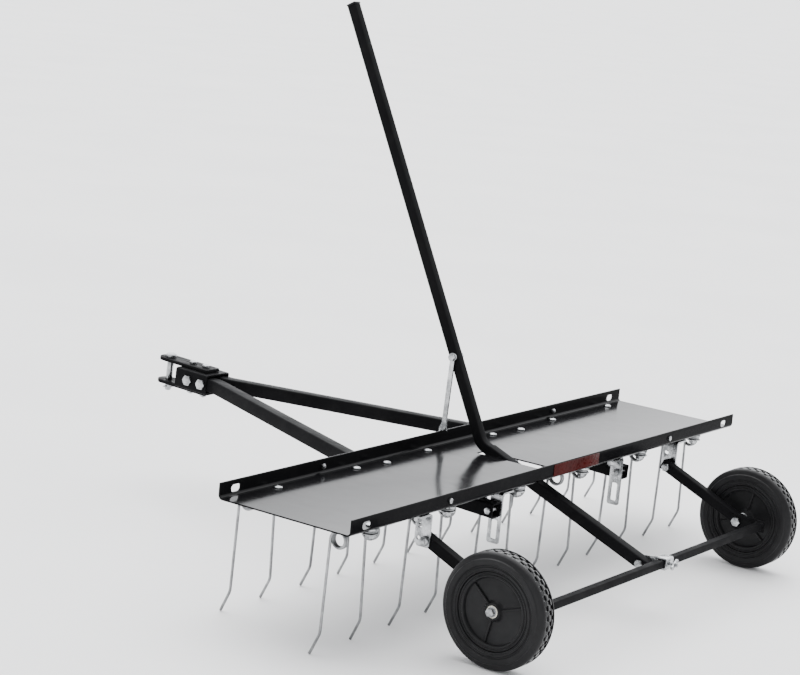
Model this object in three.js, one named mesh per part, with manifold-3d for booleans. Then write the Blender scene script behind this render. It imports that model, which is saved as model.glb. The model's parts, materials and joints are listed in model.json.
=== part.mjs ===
// A tow-behind lawn dethatcher: a shallow steel tray on a V tongue, two rows of double spring
// tines under it, and a wheel frame that a hand lever turns about one axis to lift the tines.
// Millimetres, +X to the right, +Y forwards (towards the tow vehicle), +Z up.
// Everything is laid out in the tray's frame: y = 0 at the rear lip's outer face, z = 0 at the
// deck's underside, x = 0 in the middle. The last lines move the whole machine onto the floor.
import * as THREE from "three";
import { mergeVertices } from "three/addons/utils/BufferGeometryUtils.js";
import Module from "manifold-3d";

const wasm = await Module();
wasm.setup();

// ---------------------------------------------------------------- driving dimensions
const GAP = 0.3; // clearance between pieces that touch on the real machine

const TRAY_WIDTH = 1209;
const TRAY_DEPTH = 248;
const SHEET = 2.5;
const LIP_HEIGHT = 26;
const FOLD_RADIUS = 4;

const TINES_PER_ROW = 6; // double tines
const PRONG_PITCH = 101.6;
const ROW_STAGGER = PRONG_PITCH / 4; // front row to the right, rear row to the left
const ROW_Y = { rear: 17.3, front: 230.7 };
const WIRE_RADIUS = 2.25;
const COIL_RADIUS = 12.5;
const COIL_CENTRE = { y: 25.1, z: -18.5 }; // from the tine's bolt
const COIL_PITCH = 4.8;
const COIL_TURNS = 2;
const COIL_SIDES = 8;
const WIRE_SIDES = 5;
const BOLT_SIDES = 8;
const WHEEL_SIDES = 32;
const COIL_OUTER_X = 44;
const PRONG_BEND_Z = -164;
const TIP = { y: 53.8, z: -197.9 };

const PIVOT = { y: 10, z: -45 }; // the one axis the wheel frame turns on
const AXLE = { y: -142.5, z: -109.5 };
const WHEEL_RADIUS = 89.5;
const WHEEL_X = 414.4;
const TYRE_WIDTH = 42;
const RIM_RADIUS = 60;
const RIM_FACE = 16.5; // half the rim's width at its outer ring
const WEB_FACE = 9.5; // half the thickness of the disc between that ring and the hub
const RECESS_RADIUS = 52;
const HUB_WIDTH = 34;
const HUB_RADIUS = 13;
const AXLE_RADIUS = 6;
const BUSH = { inner: AXLE_RADIUS + 0.8, outer: AXLE_RADIUS + 3.5 }; // clear as the wheel turns

const ARM_SIDE = 18;
const ARM_X = 383;
const TUBE_WALL = 1.8;
const CROSSBAR = { y: -185, z: -108.5, side: 13 };
const LUG_THICKNESS = 4;
const CLAMP = { clearance: 0.35, wall: 3.2, width: 24, screwReach: 14 };

const LEVER_SIDE = 19.8;
const LEVER_WALL = 1;
const LEVER_SLOPE = 0.391;
const LEVER_Z = -51.2; // of the lever's middle line at the rear lip's face
const LEVER_END_Y = -173;
const HANDLE_SIDE = 17.2;
const HANDLE_WALL = 1.5;
const HANDLE_TOP = { y: 523.8, z: 723.7 };
const ELBOW = { y: 172.3, z: LEVER_Z + 172.3 * LEVER_SLOPE };
const HANDLE_INSERT = 70;
const STAY_BOLT_Z = 155;

const SLOT = { x0: -15, x1: 15, y0: 42, y1: 173 };

const TONGUE_SIDE = 24;
const TONGUE_X = 207; // where the tubes run straight under the tray
const TONGUE_REAR_Y = 4;
const TONGUE_BEND_Y = 250;
const TONGUE_NOSE = { x: 17, y: 745, end: 826 };
const TONGUE_SLOPE = 0.0417; // the tongue rises towards its hitch
const TONGUE_REAR_Z = -27.5;

const HITCH_BLOCK = { width: 65, height: 36.4, wall: 3, y0: 760, y1: 834 };
const STRAP = { width: 38, thickness: 6, y0: 772, y1: 897, pin_y: 876 };

// ---------------------------------------------------------------- materials
const paint = () => new THREE.MeshStandardMaterial({ color: 0x17181a, roughness: 0.3, metalness: 0.2 });
const zinc = () => new THREE.MeshStandardMaterial({ color: 0xc4c6c8, roughness: 0.35, metalness: 0.9 });
const wire = () => new THREE.MeshStandardMaterial({ color: 0x8d9093, roughness: 0.4, metalness: 0.8 });
const rubber = () => new THREE.MeshStandardMaterial({ color: 0x1d1d1f, roughness: 0.7, metalness: 0 });
const plastic = () => new THREE.MeshStandardMaterial({ color: 0x202123, roughness: 0.5, metalness: 0 });
const nylon = () => new THREE.MeshStandardMaterial({ color: 0xd8d5c8, roughness: 0.6, metalness: 0 });
const redFilm = () => new THREE.MeshStandardMaterial({ color: 0x6a1713, roughness: 0.35, metalness: 0 });

// ---------------------------------------------------------------- solids
function toSolid(geometry) {
  const bare = geometry.index ? geometry.toNonIndexed() : geometry.clone();
  bare.deleteAttribute("normal");
  bare.deleteAttribute("uv");
  const merged = mergeVertices(bare, 1e-4);
  return new wasm.Manifold(
    new wasm.Mesh({
      numProp: 3,
      vertProperties: merged.attributes.position.array,
      triVerts: new Uint32Array(merged.index.array),
    }),
  );
}

function toGeometry(solid) {
  const mesh = solid.getMesh();
  const geometry = new THREE.BufferGeometry();
  const corners = new Float32Array(mesh.triVerts.length * 3);
  mesh.triVerts.forEach((vertex, i) => {
    for (let axis = 0; axis < 3; axis++) {
      corners[3 * i + axis] = mesh.vertProperties[vertex * mesh.numProp + axis];
    }
  });
  geometry.setAttribute("position", new THREE.BufferAttribute(corners, 3));
  geometry.computeVertexNormals();
  return geometry;
}

function cut(geometry, tools) {
  return toGeometry(tools.reduce((left, tool) => left.subtract(toSolid(tool)), toSolid(geometry)));
}

function join(geometries) {
  const [first, ...others] = geometries.map(toSolid);
  return toGeometry(others.reduce((sum, other) => sum.add(other), first));
}

// The same solid on the other side of the machine.
function mirrored(geometry) {
  return toGeometry(toSolid(geometry).mirror([1, 0, 0]));
}

// A box given by its limits, as [low, high] along each axis.
function box(x, y, z) {
  const geometry = new THREE.BoxGeometry(x[1] - x[0], y[1] - y[0], z[1] - z[0]);
  return geometry.translate((x[0] + x[1]) / 2, (y[0] + y[1]) / 2, (z[0] + z[1]) / 2);
}

// Turns a geometry made along +Z so that it lies along +X, +Y or +Z.
function alongAxis(geometry, axis) {
  if (axis === "x") geometry.rotateY(Math.PI / 2);
  if (axis === "y") geometry.rotateX(-Math.PI / 2);
  return geometry;
}

function rod(radius, low, high, axis, sides = 10) {
  const geometry = new THREE.CylinderGeometry(radius, radius, high - low, sides);
  geometry.rotateX(Math.PI / 2).translate(0, 0, (low + high) / 2);
  return alongAxis(geometry, axis);
}

// A solid of revolution from [radius, height] pairs, listed from the bottom upwards.
function turned(profile, axis, sides = BOLT_SIDES) {
  const points = profile.map(([radius, height]) => new THREE.Vector2(radius, height));
  const geometry = new THREE.LatheGeometry(points, sides).rotateX(Math.PI / 2);
  return alongAxis(geometry, axis);
}

// An outline in the YZ plane, extruded along X between two limits.
function plateYZ(points, x0, x1) {
  const shape = new THREE.Shape(points.map(([y, z]) => new THREE.Vector2(y, z)));
  const geometry = new THREE.ExtrudeGeometry(shape, { depth: x1 - x0, bevelEnabled: false });
  const toYZ = new THREE.Matrix4().set(0, 0, 1, x0, 1, 0, 0, 0, 0, 1, 0, 0, 0, 0, 0, 1);
  return geometry.applyMatrix4(toYZ);
}

// An outline in the XY plane, extruded along Z between two limits.
function plateXY(points, z0, z1) {
  const shape = new THREE.Shape(points.map(([x, y]) => new THREE.Vector2(x, y)));
  const geometry = new THREE.ExtrudeGeometry(shape, { depth: z1 - z0, bevelEnabled: false });
  return geometry.translate(0, 0, z0);
}

function arc(centre, radius, from, to, steps) {
  return Array.from({ length: steps + 1 }, (unused, i) => {
    const angle = from + ((to - from) * i) / steps;
    return [centre[0] + radius * Math.cos(angle), centre[1] + radius * Math.sin(angle)];
  });
}

// The outline of a bar of a given width along a bent centre line, with mitred corners.
function strip(line, width) {
  const sides = [1, -1].map((side) =>
    line.map((point, i) => {
      const before = line[Math.max(i - 1, 0)];
      const after = line[Math.min(i + 1, line.length - 1)];
      const into = i ? Math.atan2(point[1] - before[1], point[0] - before[0]) : null;
      const out = i < line.length - 1 ? Math.atan2(after[1] - point[1], after[0] - point[0]) : null;
      const first = into ?? out;
      const last = out ?? into;
      const reach = width / 2 / Math.cos((last - first) / 2);
      const normal = (first + last) / 2 + (side * Math.PI) / 2;
      return [point[0] + reach * Math.cos(normal), point[1] + reach * Math.sin(normal)];
    }),
  );
  return [...sides[0], ...sides[1].reverse()];
}

// Lengthens a centre line at both ends.
function stretched(line, extra) {
  const grow = (end, next) => {
    const length = Math.hypot(end[0] - next[0], end[1] - next[1]);
    return end.map((value, i) => value + ((value - next[i]) * extra) / length);
  };
  const last = line.length - 1;
  return [grow(line[0], line[1]), ...line.slice(1, last), grow(line[last], line[last - 1])];
}

// A hollow square tube bent in the YZ plane, centred on x.
function tubeYZ(line, side, x, wall = TUBE_WALL) {
  const outer = plateYZ(strip(line, side), x - side / 2, x + side / 2);
  const bore = side - 2 * wall;
  return cut(outer, [plateYZ(strip(stretched(line, 1), bore), x - bore / 2, x + bore / 2)]);
}

// A hollow square tube bent in the XY plane, centred on z = 0.
function tubeXY(line, side, wall = TUBE_WALL) {
  const outer = plateXY(strip(line, side), -side / 2, side / 2);
  const bore = side - 2 * wall;
  return cut(outer, [plateXY(strip(stretched(line, 1), bore), -bore / 2, bore / 2)]);
}

// A bolt along +Z: a head above `top`, a shank and a nut below `bottom`, as one turned solid.
function boltShape({ shank, head, headHeight, top, nut, nutHeight, bottom, tail = 3 }) {
  return [
    [0, bottom - nutHeight - tail],
    [shank, bottom - nutHeight - tail],
    [shank, bottom - nutHeight],
    [nut, bottom - nutHeight],
    [nut, bottom],
    [shank, bottom],
    [shank, top],
    [head, top],
    [head, top + headHeight * 0.5],
    [head * 0.6, top + headHeight],
    [0, top + headHeight],
  ];
}

function node(name, geometry, material, position = [0, 0, 0]) {
  const mesh = new THREE.Mesh(geometry, material);
  mesh.name = name;
  mesh.position.set(...position);
  return mesh;
}

const SIDES = [
  { name: "left", sign: -1 },
  { name: "right", sign: 1 },
];

// ---------------------------------------------------------------- tines
// A curve through a list of points that is sampled at exactly those points.
class Wire extends THREE.Curve {
  constructor(points) {
    super();
    this.points = points;
  }
  getPoint(t) {
    const place = t * (this.points.length - 1);
    const i = Math.min(Math.floor(place), this.points.length - 2);
    return this.points[i].clone().lerp(this.points[i + 1], place - i);
  }
  getPointAt(u) {
    return this.getPoint(u);
  }
  getTangentAt(u) {
    return this.getTangent(u);
  }
}

function swept(points, radius, sides) {
  const section = new THREE.Shape(arc([0, 0], radius, 0, 2 * Math.PI, sides).slice(0, sides)
    .map(([x, y]) => new THREE.Vector2(x, y)));
  const options = { steps: points.length - 1, extrudePath: new Wire(points), bevelEnabled: false };
  return new THREE.ExtrudeGeometry(section, options);
}

// Half of a double tine, from the loop round its bolt to the tip of its prong, on the +X side.
function halfTine() {
  const { y, z } = COIL_CENTRE;
  const points = [[0, -9, z + COIL_RADIUS], [6.5, -6.3, z + COIL_RADIUS], [9, 1, z + COIL_RADIUS]];
  const innerX = COIL_OUTER_X - COIL_PITCH * (COIL_TURNS + 0.25);
  points.push([innerX - 6, y - 12, z + COIL_RADIUS]);
  const steps = COIL_SIDES * COIL_TURNS + COIL_SIDES / 4;
  for (let i = 0; i <= steps; i++) {
    const angle = Math.PI / 2 - (2 * Math.PI * i) / COIL_SIDES;
    const x = innerX + (COIL_PITCH * i) / COIL_SIDES;
    points.push([x, y + COIL_RADIUS * Math.cos(angle), z + COIL_RADIUS * Math.sin(angle)]);
  }
  points.push([PRONG_PITCH / 2 - 1, y + COIL_RADIUS, PRONG_BEND_Z + 6]);
  points.push([PRONG_PITCH / 2, y + COIL_RADIUS + 2, PRONG_BEND_Z - 4]);
  points.push([PRONG_PITCH / 2, TIP.y, TIP.z]);
  return points.map((point) => new THREE.Vector3(...point));
}

// A double spring tine with the carriage bolt, spacer washer, plate washer and nut that hold it.
function doubleTine() {
  const right = halfTine();
  const left = right.slice(1).map((point) => new THREE.Vector3(-point.x, point.y, point.z));
  const wireSolid = swept([...left.reverse(), ...right], WIRE_RADIUS, WIRE_SIDES);
  const under = COIL_CENTRE.z + COIL_RADIUS - WIRE_RADIUS + 0.3;
  const bolt = turned([
    [0, under - 12], [3.8, under - 12], [3.8, under - 9], [6.8, under - 9], [6.8, under - 2.5],
    [13, under - 2.5], [13, -GAP], [3.8, -GAP], [3.8, SHEET + GAP], [7.2, SHEET + GAP],
    [6, SHEET + 2.8], [0, SHEET + 3.8],
  ], "z");
  return join([wireSolid, bolt]);
}

const tinePlaces = ["rear", "front"].flatMap((row) => {
  const offset = row === "front" ? ROW_STAGGER : -ROW_STAGGER;
  return Array.from({ length: TINES_PER_ROW }, (unused, i) => ({
    name: `double_tine_${row}_${i + 1}`,
    x: (2 * i - TINES_PER_ROW + 1) * PRONG_PITCH + offset,
    y: ROW_Y[row],
  }));
});

// ---------------------------------------------------------------- tray
const LIP_HOLES = { x: 567, z: 12.5, width: 22, height: 12 };
const LIP_BOLT = { x: 352, z: 14 };
const TONGUE_FRONT_BOLT_Y = 222;
const WHEEL_BRACKET_BOLT = { x: 411, y: 16 };
const TONGUE_BRACKET_BOLT = { x: 176, y: 17 };
const BOLT_HOLE = 4.4;
const LIP_BOLT_HOLE = 3.3;

function tray() {
  const r = FOLD_RADIUS;
  const inner = r - SHEET;
  const turn = Math.PI / 2;
  const outline = [
    [0, LIP_HEIGHT],
    ...arc([r, r], r, 2 * turn, 3 * turn, 4),
    ...arc([TRAY_DEPTH - r, r], r, 3 * turn, 4 * turn, 4),
    [TRAY_DEPTH, LIP_HEIGHT],
    [TRAY_DEPTH - SHEET, LIP_HEIGHT],
    ...arc([TRAY_DEPTH - r, r], inner, 4 * turn, 3 * turn, 3),
    ...arc([r, r], inner, 3 * turn, 2 * turn, 3),
    [SHEET, LIP_HEIGHT],
  ];
  const sheet = plateYZ(outline, -TRAY_WIDTH / 2, TRAY_WIDTH / 2);
  const drill = (x, y) => rod(BOLT_HOLE, -5, 9, "z").translate(x, y, 0);
  const holes = [
    box([SLOT.x0, SLOT.x1], [SLOT.y0, SLOT.y1], [-5, 9]),
    ...tinePlaces.map(({ x, y }) => drill(x, y)),
  ];
  for (const { sign } of SIDES) {
    const { x, z, width, height } = LIP_HOLES;
    const across = [sign * x - width / 2, sign * x + width / 2];
    holes.push(box(across, [-5, TRAY_DEPTH + 5], [z - height / 2, z + height / 2]));
    holes.push(drill(sign * TONGUE_X, TONGUE_FRONT_BOLT_Y));
    holes.push(drill(sign * WHEEL_BRACKET_BOLT.x, WHEEL_BRACKET_BOLT.y));
    holes.push(drill(sign * TONGUE_BRACKET_BOLT.x, TONGUE_BRACKET_BOLT.y));
    const lipHole = rod(LIP_BOLT_HOLE, -5, TRAY_DEPTH + 5, "y");
    holes.push(lipHole.translate(sign * LIP_BOLT.x, 0, LIP_BOLT.z));
  }
  return cut(sheet, holes);
}

function lipBolt(lipY) {
  const shape = boltShape({
    shank: 2.8, head: 4.8, headHeight: 2.8, top: SHEET / 2 + GAP,
    nut: 4.8, nutHeight: 4, bottom: -SHEET / 2 - GAP, tail: 2,
  });
  const bolt = turned(shape, "y");
  return lipY < TRAY_DEPTH / 2 ? bolt.rotateZ(Math.PI) : bolt;
}

// A bolt head on the deck over a flange of a bracket under it, to be joined to that bracket.
function deckStud(x, y) {
  return turned([
    [0, -14], [3.8, -14], [3.8, -11.5], [6.8, -11.5], [6.8, -5.5], [3.8, -5.5],
    [3.8, SHEET + GAP], [7.2, SHEET + GAP], [6, SHEET + 2.8], [0, SHEET + 3.8],
  ], "z").translate(x, y, 0);
}

// A thin film on the outside of the rear lip, right of the middle.
const FILM = { x0: -47, x1: 100, z0: 4.5, z1: 24.5, thickness: 0.8 };
const rearFilm = () => box([FILM.x0, FILM.x1], [-GAP - FILM.thickness, -GAP], [FILM.z0, FILM.z1]);

// ---------------------------------------------------------------- wheel frame
const ARM_ANGLE = Math.atan2(PIVOT.z - AXLE.z, PIVOT.y - AXLE.y);
const ARM_TAIL = 16;
const ARM_NOSE = 11;
const onArm = (from, distance) => [
  from.y + distance * Math.cos(ARM_ANGLE),
  from.z + distance * Math.sin(ARM_ANGLE),
];

function wheelArm(sign) {
  const x = sign * ARM_X;
  const tube = tubeYZ([onArm(AXLE, -ARM_TAIL), onArm(PIVOT, ARM_NOSE)], ARM_SIDE, x);
  const bores = [PIVOT, AXLE].map(({ y, z }) =>
    rod(AXLE_RADIUS + GAP, x - ARM_SIDE, x + ARM_SIDE, "x").translate(0, y, z));
  return cut(tube, bores);
}

const ARM_INNER_X = ARM_X - ARM_SIDE / 2;
const ARM_OUTER_X = ARM_X + ARM_SIDE / 2;
const LUG_X = [ARM_INNER_X - GAP - LUG_THICKNESS, ARM_INNER_X - GAP];

// A square tube across the machine with a welded lug at each end that the axle bolt goes through.
function crossbar() {
  const { y, z, side } = CROSSBAR;
  const half = side / 2;
  const tube = box([-LUG_X[0] - 1, LUG_X[0] + 1], [y - half, y + half], [z - half, z + half]);
  const lug = [
    [y - half - 3, z - half - 3],
    ...arc([AXLE.y, AXLE.z], 14, -Math.PI / 2, Math.PI / 2, 6),
    [y - half - 3, z + half + 3],
  ];
  const pieces = [tube];
  const bores = [];
  for (const { sign } of SIDES) {
    const limits = LUG_X.map((x) => sign * x).sort((a, b) => a - b);
    pieces.push(plateYZ(lug, ...limits));
    const bore = rod(AXLE_RADIUS + GAP, limits[0] - 2, limits[1] + 2, "x");
    bores.push(bore.translate(0, AXLE.y, AXLE.z));
  }
  return cut(join(pieces), bores);
}

const WHEEL_BRACKET_X = [ARM_OUTER_X + GAP, ARM_OUTER_X + GAP + 3];

// An angle under the deck whose outer cheek carries one end of the pivot axis.
function wheelBracket(sign) {
  const outline = [[2, -55], [24, -55], [30, -49], [30, -GAP], [2, -GAP]];
  const cheek = plateYZ(outline, ...WHEEL_BRACKET_X);
  const flange = box([WHEEL_BRACKET_X[0], 426], [2, 30], [-3 - GAP, -GAP]);
  const stud = deckStud(WHEEL_BRACKET_BOLT.x, WHEEL_BRACKET_BOLT.y);
  const holes = [[PIVOT.y, PIVOT.z, AXLE_RADIUS + GAP], [22, -22, 4], [23, -42, 3]].map(
    ([y, z, radius]) => rod(radius, 385, 405, "x").translate(0, y, z));
  const right = cut(join([cheek, flange, stud]), holes);
  return sign > 0 ? right : mirrored(right);
}

// The bolt that an arm turns on: its head is inboard of the arm and its nut outboard of the cheek.
function armPivotBolt() {
  const shape = boltShape({
    shank: 5.6, head: 7.8, headHeight: 5.5, top: -ARM_INNER_X + GAP,
    nut: 9, nutHeight: 7, bottom: -WHEEL_BRACKET_X[1] - GAP,
  });
  return turned(shape, "x");
}

// ---------------------------------------------------------------- lever, handle and stay
const LEVER_ANGLE = Math.atan(LEVER_SLOPE);
const onLever = (y) => [y, LEVER_Z + y * LEVER_SLOPE];
const HANDLE_ANGLE = Math.atan2(HANDLE_TOP.z - ELBOW.z, HANDLE_TOP.y - ELBOW.y);
const onHandle = (z) => [ELBOW.y + (z - ELBOW.z) / Math.tan(HANDLE_ANGLE), z];
const CLAMP_BOLT = { y: -156, z: onLever(-156)[1] };
const HANDLE_BOLT = { y: 128, z: onLever(128)[1] };
const LEVER_TOP_Y = 154;

function liftLever() {
  const tube = tubeYZ([onLever(LEVER_END_Y), onLever(LEVER_TOP_Y)], LEVER_SIDE, 0, LEVER_WALL);
  const bores = [CLAMP_BOLT, HANDLE_BOLT].map(
    ({ y, z }) => rod(4.2, -20, 20, "x").translate(0, y, z));
  return cut(tube, bores);
}

// The handle's lower end is bent and pushed into the lever; the bend is an arc of a few chords.
function handleLine() {
  const radius = 34;
  const cutBack = radius * Math.tan((HANDLE_ANGLE - LEVER_ANGLE) / 2);
  const start = [
    ELBOW.y - cutBack * Math.cos(LEVER_ANGLE),
    ELBOW.z - cutBack * Math.sin(LEVER_ANGLE),
  ];
  const centre = [
    start[0] - radius * Math.sin(LEVER_ANGLE),
    start[1] + radius * Math.cos(LEVER_ANGLE),
  ];
  const bend = arc(centre, radius, LEVER_ANGLE - Math.PI / 2, HANDLE_ANGLE - Math.PI / 2, 4);
  return [onLever(ELBOW.y - HANDLE_INSERT), ...bend, [HANDLE_TOP.y, HANDLE_TOP.z]];
}

const STAY_BOLT = { y: onHandle(STAY_BOLT_Z)[0], z: STAY_BOLT_Z };

function handleTube() {
  const tube = tubeYZ(handleLine(), HANDLE_SIDE, 0, HANDLE_WALL);
  const bores = [HANDLE_BOLT, STAY_BOLT].map(
    ({ y, z }) => rod(4.2, -20, 20, "x").translate(0, y, z));
  return cut(tube, bores);
}

function handleCap() {
  const bore = HANDLE_SIDE - 2 * HANDLE_WALL - 0.8;
  const top = box([-9.2, 9.2], [-9.2, 9.2], [GAP, 3.5]);
  const plug = box([-bore / 2, bore / 2], [-bore / 2, bore / 2], [-14, GAP + 1]);
  return join([top, plug]);
}

const STAY_X = [-HANDLE_SIDE / 2 - 0.4 - 3, -HANDLE_SIDE / 2 - 0.4];

// A flat strap that hangs from the handle; its foot stands on the front lip and hooks over it.
function liftStay() {
  const { y, z } = STAY_BOLT;
  const footZ = LIP_HEIGHT + 0.4;
  const footY = TRAY_DEPTH - SHEET / 2;
  const outline = [
    [footY - 8, footZ],
    [TRAY_DEPTH + 2.8, footZ],
    [TRAY_DEPTH + 2.8, LIP_HEIGHT - 8],
    [TRAY_DEPTH + 6, LIP_HEIGHT - 8],
    [TRAY_DEPTH + 6, footZ + 3],
    [footY + 3, footZ + 14],
    [y + 4.5, z - 6],
    ...arc([y, z], 7.5, -0.4, Math.PI + 0.4, 7),
    [y - 4.5, z - 6],
    [footY - 6, footZ + 14],
  ];
  return cut(plateYZ(outline, ...STAY_X), [rod(4.2, -20, 0, "x").translate(0, y, z)]);
}

function stayBolt() {
  return turned(boltShape({
    shank: 3.8, head: 6.5, headHeight: 4, top: -STAY_X[0] + GAP,
    nut: 6.5, nutHeight: 5, bottom: -HANDLE_SIDE / 2 - GAP, tail: 2,
  }), "x").rotateZ(Math.PI);
}

// A low button head and a thin nut, which pass through the slot as the lever swings.
function handleBolt() {
  return turned(boltShape({
    shank: 3.8, head: 6, headHeight: 2.4, top: LEVER_SIDE / 2 + GAP,
    nut: 6, nutHeight: 3, bottom: -LEVER_SIDE / 2 - GAP, tail: 0.4,
  }), "x").rotateZ(Math.PI);
}

// A zinc strap round the crossbar with a wing screw behind it, bolted to the lever's right side.
function crossbarClamp() {
  const { y, z, side } = CROSSBAR;
  const inner = side / 2 + CLAMP.clearance;
  const outer = inner + CLAMP.wall;
  const x = [LEVER_SIDE / 2 + GAP, LEVER_SIDE / 2 + GAP + CLAMP.width];
  const ring = cut(box(x, [y - outer, y + outer], [z - outer, z + outer]),
    [box([x[0] - 2, x[1] + 2], [y - inner, y + inner], [z - inner, z + inner])]);
  const ear = plateYZ([
    [y + outer - 1.5, z + outer],
    [y + outer - 1.5, z - outer],
    ...arc([CLAMP_BOLT.y, CLAMP_BOLT.z], 11, -1.4, 1.4, 6),
  ], x[0], x[0] + 3);
  const screw = rod(3.2, y - outer - CLAMP.screwReach, y - outer + 1, "y")
    .translate(x[0] + 13, 0, z);
  const wings = box([x[0] + 4, x[0] + 22], [y - outer - 9, y - outer - 5], [z - 3.5, z + 3.5]);
  const bore = rod(4.2, 0, 30, "x").translate(0, CLAMP_BOLT.y, CLAMP_BOLT.z);
  return cut(join([ring, ear, screw, wings]), [bore]);
}

function clampBolt() {
  return turned(boltShape({
    shank: 3.8, head: 7, headHeight: 4.5, top: LEVER_SIDE / 2 + GAP,
    nut: 7, nutHeight: 6, bottom: -LEVER_SIDE / 2 - 2 * GAP - 3, tail: 3,
  }), "x").rotateZ(Math.PI);
}

// ---------------------------------------------------------------- wheels (made on the X axis)
function tyre() {
  const half = TYRE_WIDTH / 2;
  const inner = RIM_RADIUS + GAP;
  const outer = WHEEL_RADIUS;
  const profile = [
    [inner, -half + 4], [outer - 20, -half], [outer - 6, -half + 1.5], [outer, -half + 11],
    [outer, half - 11], [outer - 6, half - 1.5], [outer - 20, half], [inner, half - 4],
    [inner, -half + 4],
  ];
  return turned(profile, "x", WHEEL_SIDES);
}

function wheelRim() {
  const half = HUB_WIDTH / 2;
  const bore = BUSH.outer + GAP;
  const profile = [
    [bore, -half], [HUB_RADIUS, -half], [HUB_RADIUS + 2, -WEB_FACE],
    [RECESS_RADIUS - 2, -WEB_FACE], [RECESS_RADIUS, -RIM_FACE], [RIM_RADIUS, -RIM_FACE],
    [RIM_RADIUS, RIM_FACE], [RECESS_RADIUS, RIM_FACE], [RECESS_RADIUS - 2, WEB_FACE],
    [HUB_RADIUS + 2, WEB_FACE], [HUB_RADIUS, half], [bore, half], [bore, -half],
  ];
  return turned(profile, "x", WHEEL_SIDES);
}

function wheelBush() {
  const { inner, outer } = BUSH;
  const half = HUB_WIDTH / 2 - 0.2;
  const profile = [[inner, -half], [outer, -half], [outer, half], [inner, half], [inner, -half]];
  return turned(profile, "x", WHEEL_SIDES);
}

// The axle bolt: head outside the wheel, a collar between hub and arm, and a nut inside the lug.
function axleBolt() {
  const hubIn = WHEEL_X - HUB_WIDTH / 2;
  const hubOut = WHEEL_X + HUB_WIDTH / 2;
  const nutTop = LUG_X[0] - GAP;
  return turned([
    [0, nutTop - 11], [AXLE_RADIUS, nutTop - 11], [AXLE_RADIUS, nutTop - 8], [9.5, nutTop - 8],
    [9.5, nutTop], [AXLE_RADIUS, nutTop], [AXLE_RADIUS, ARM_OUTER_X + GAP],
    [11, ARM_OUTER_X + GAP], [11, hubIn - GAP], [AXLE_RADIUS, hubIn - GAP],
    [AXLE_RADIUS, hubOut + GAP], [8.2, hubOut + GAP], [8.2, hubOut + 1.5], [7, hubOut + 1.5],
    [7, hubOut + 6], [5, hubOut + 7.5], [0, hubOut + 7.5],
  ], "x");
}

// ---------------------------------------------------------------- tongue (in its own frame)
// The tongue's frame has z = 0 on the tubes' centre line; tongueGroup tilts it.
const TONGUE_ANGLE = Math.asin(TONGUE_SLOPE);
const TONGUE_BOLT_Y = 12;

function tongueTube(sign) {
  const line = [
    [sign * TONGUE_X, TONGUE_REAR_Y],
    [sign * TONGUE_X, TONGUE_BEND_Y],
    [sign * TONGUE_NOSE.x, TONGUE_NOSE.y],
    [sign * TONGUE_NOSE.x, TONGUE_NOSE.end],
  ];
  const bores = [...HITCH_SIDE_BOLTS, TONGUE_BOLT_Y].map(
    (y) => rod(4.4, sign * 110 - 120, sign * 110 + 120, "x").translate(0, y, 0));
  bores.push(rod(4.8, -20, 20, "z").translate(sign * TONGUE_X, TONGUE_FRONT_BOLT_Y, 0));
  return cut(tubeXY(line, TONGUE_SIDE), bores);
}

const HITCH_SIDE_BOLTS = [771, 803];
const HITCH_STRAP_BOLTS = [790, 821];

function hitchBlock() {
  const { width, height, wall, y0, y1 } = HITCH_BLOCK;
  const half = [width / 2, height / 2];
  const tools = [
    box([wall - half[0], half[0] - wall], [y0 - 2, y1 + 2], [wall - half[1], half[1] - wall]),
    ...HITCH_SIDE_BOLTS.map((y) => rod(4.4, -40, 40, "x").translate(0, y, 0)),
    ...HITCH_STRAP_BOLTS.map((y) => rod(4.4, -30, 30, "z").translate(0, y, 0)),
  ];
  return cut(box([-half[0], half[0]], [y0, y1], [-half[1], half[1]]), tools);
}

function hitchStrap(sign) {
  const half = STRAP.width / 2;
  const near = HITCH_BLOCK.height / 2 + GAP;
  const z = [near * sign, (near + STRAP.thickness) * sign].sort((a, b) => a - b);
  const outline = [
    [-half, STRAP.y0],
    [half, STRAP.y0],
    ...arc([0, STRAP.y1 - half], half, 0, Math.PI, 10),
  ];
  const holes = [...HITCH_STRAP_BOLTS.map((y) => rod(4.4, -40, 40, "z").translate(0, y, 0)),
    rod(6.8, -40, 40, "z").translate(0, STRAP.pin_y, 0)];
  return cut(plateXY(outline, ...z), holes);
}

function hitchSideBolt() {
  const half = HITCH_BLOCK.width / 2;
  return turned(boltShape({
    shank: 3.8, head: 10, headHeight: 5, top: half + GAP,
    nut: 10, nutHeight: 6, bottom: -half - GAP, tail: 3,
  }), "x").rotateZ(Math.PI);
}

const STRAP_OUTSIDE = HITCH_BLOCK.height / 2 + GAP + STRAP.thickness;

function hitchStrapBolt() {
  return turned(boltShape({
    shank: 3.8, head: 7, headHeight: 4.5, top: STRAP_OUTSIDE + GAP,
    nut: 7, nutHeight: 6, bottom: -STRAP_OUTSIDE - GAP, tail: 2,
  }), "z");
}

function hitchPin() {
  const radius = 6.2;
  const head = STRAP_OUTSIDE + GAP;
  const pin = turned([
    [0, -STRAP_OUTSIDE - 15], [radius - 2, -STRAP_OUTSIDE - 15], [radius, -STRAP_OUTSIDE - 12],
    [radius, head], [10, head], [10, head + 5], [8, head + 6.5], [0, head + 6.5],
  ], "z");
  const clipHole = rod(1.9, -20, 20, "x", 8).translate(0, 0, HITCH_CLIP_Z);
  return cut(pin, [clipHole]).translate(0, STRAP.pin_y, 0);
}

const HITCH_CLIP_Z = -STRAP_OUTSIDE - 7;

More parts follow.
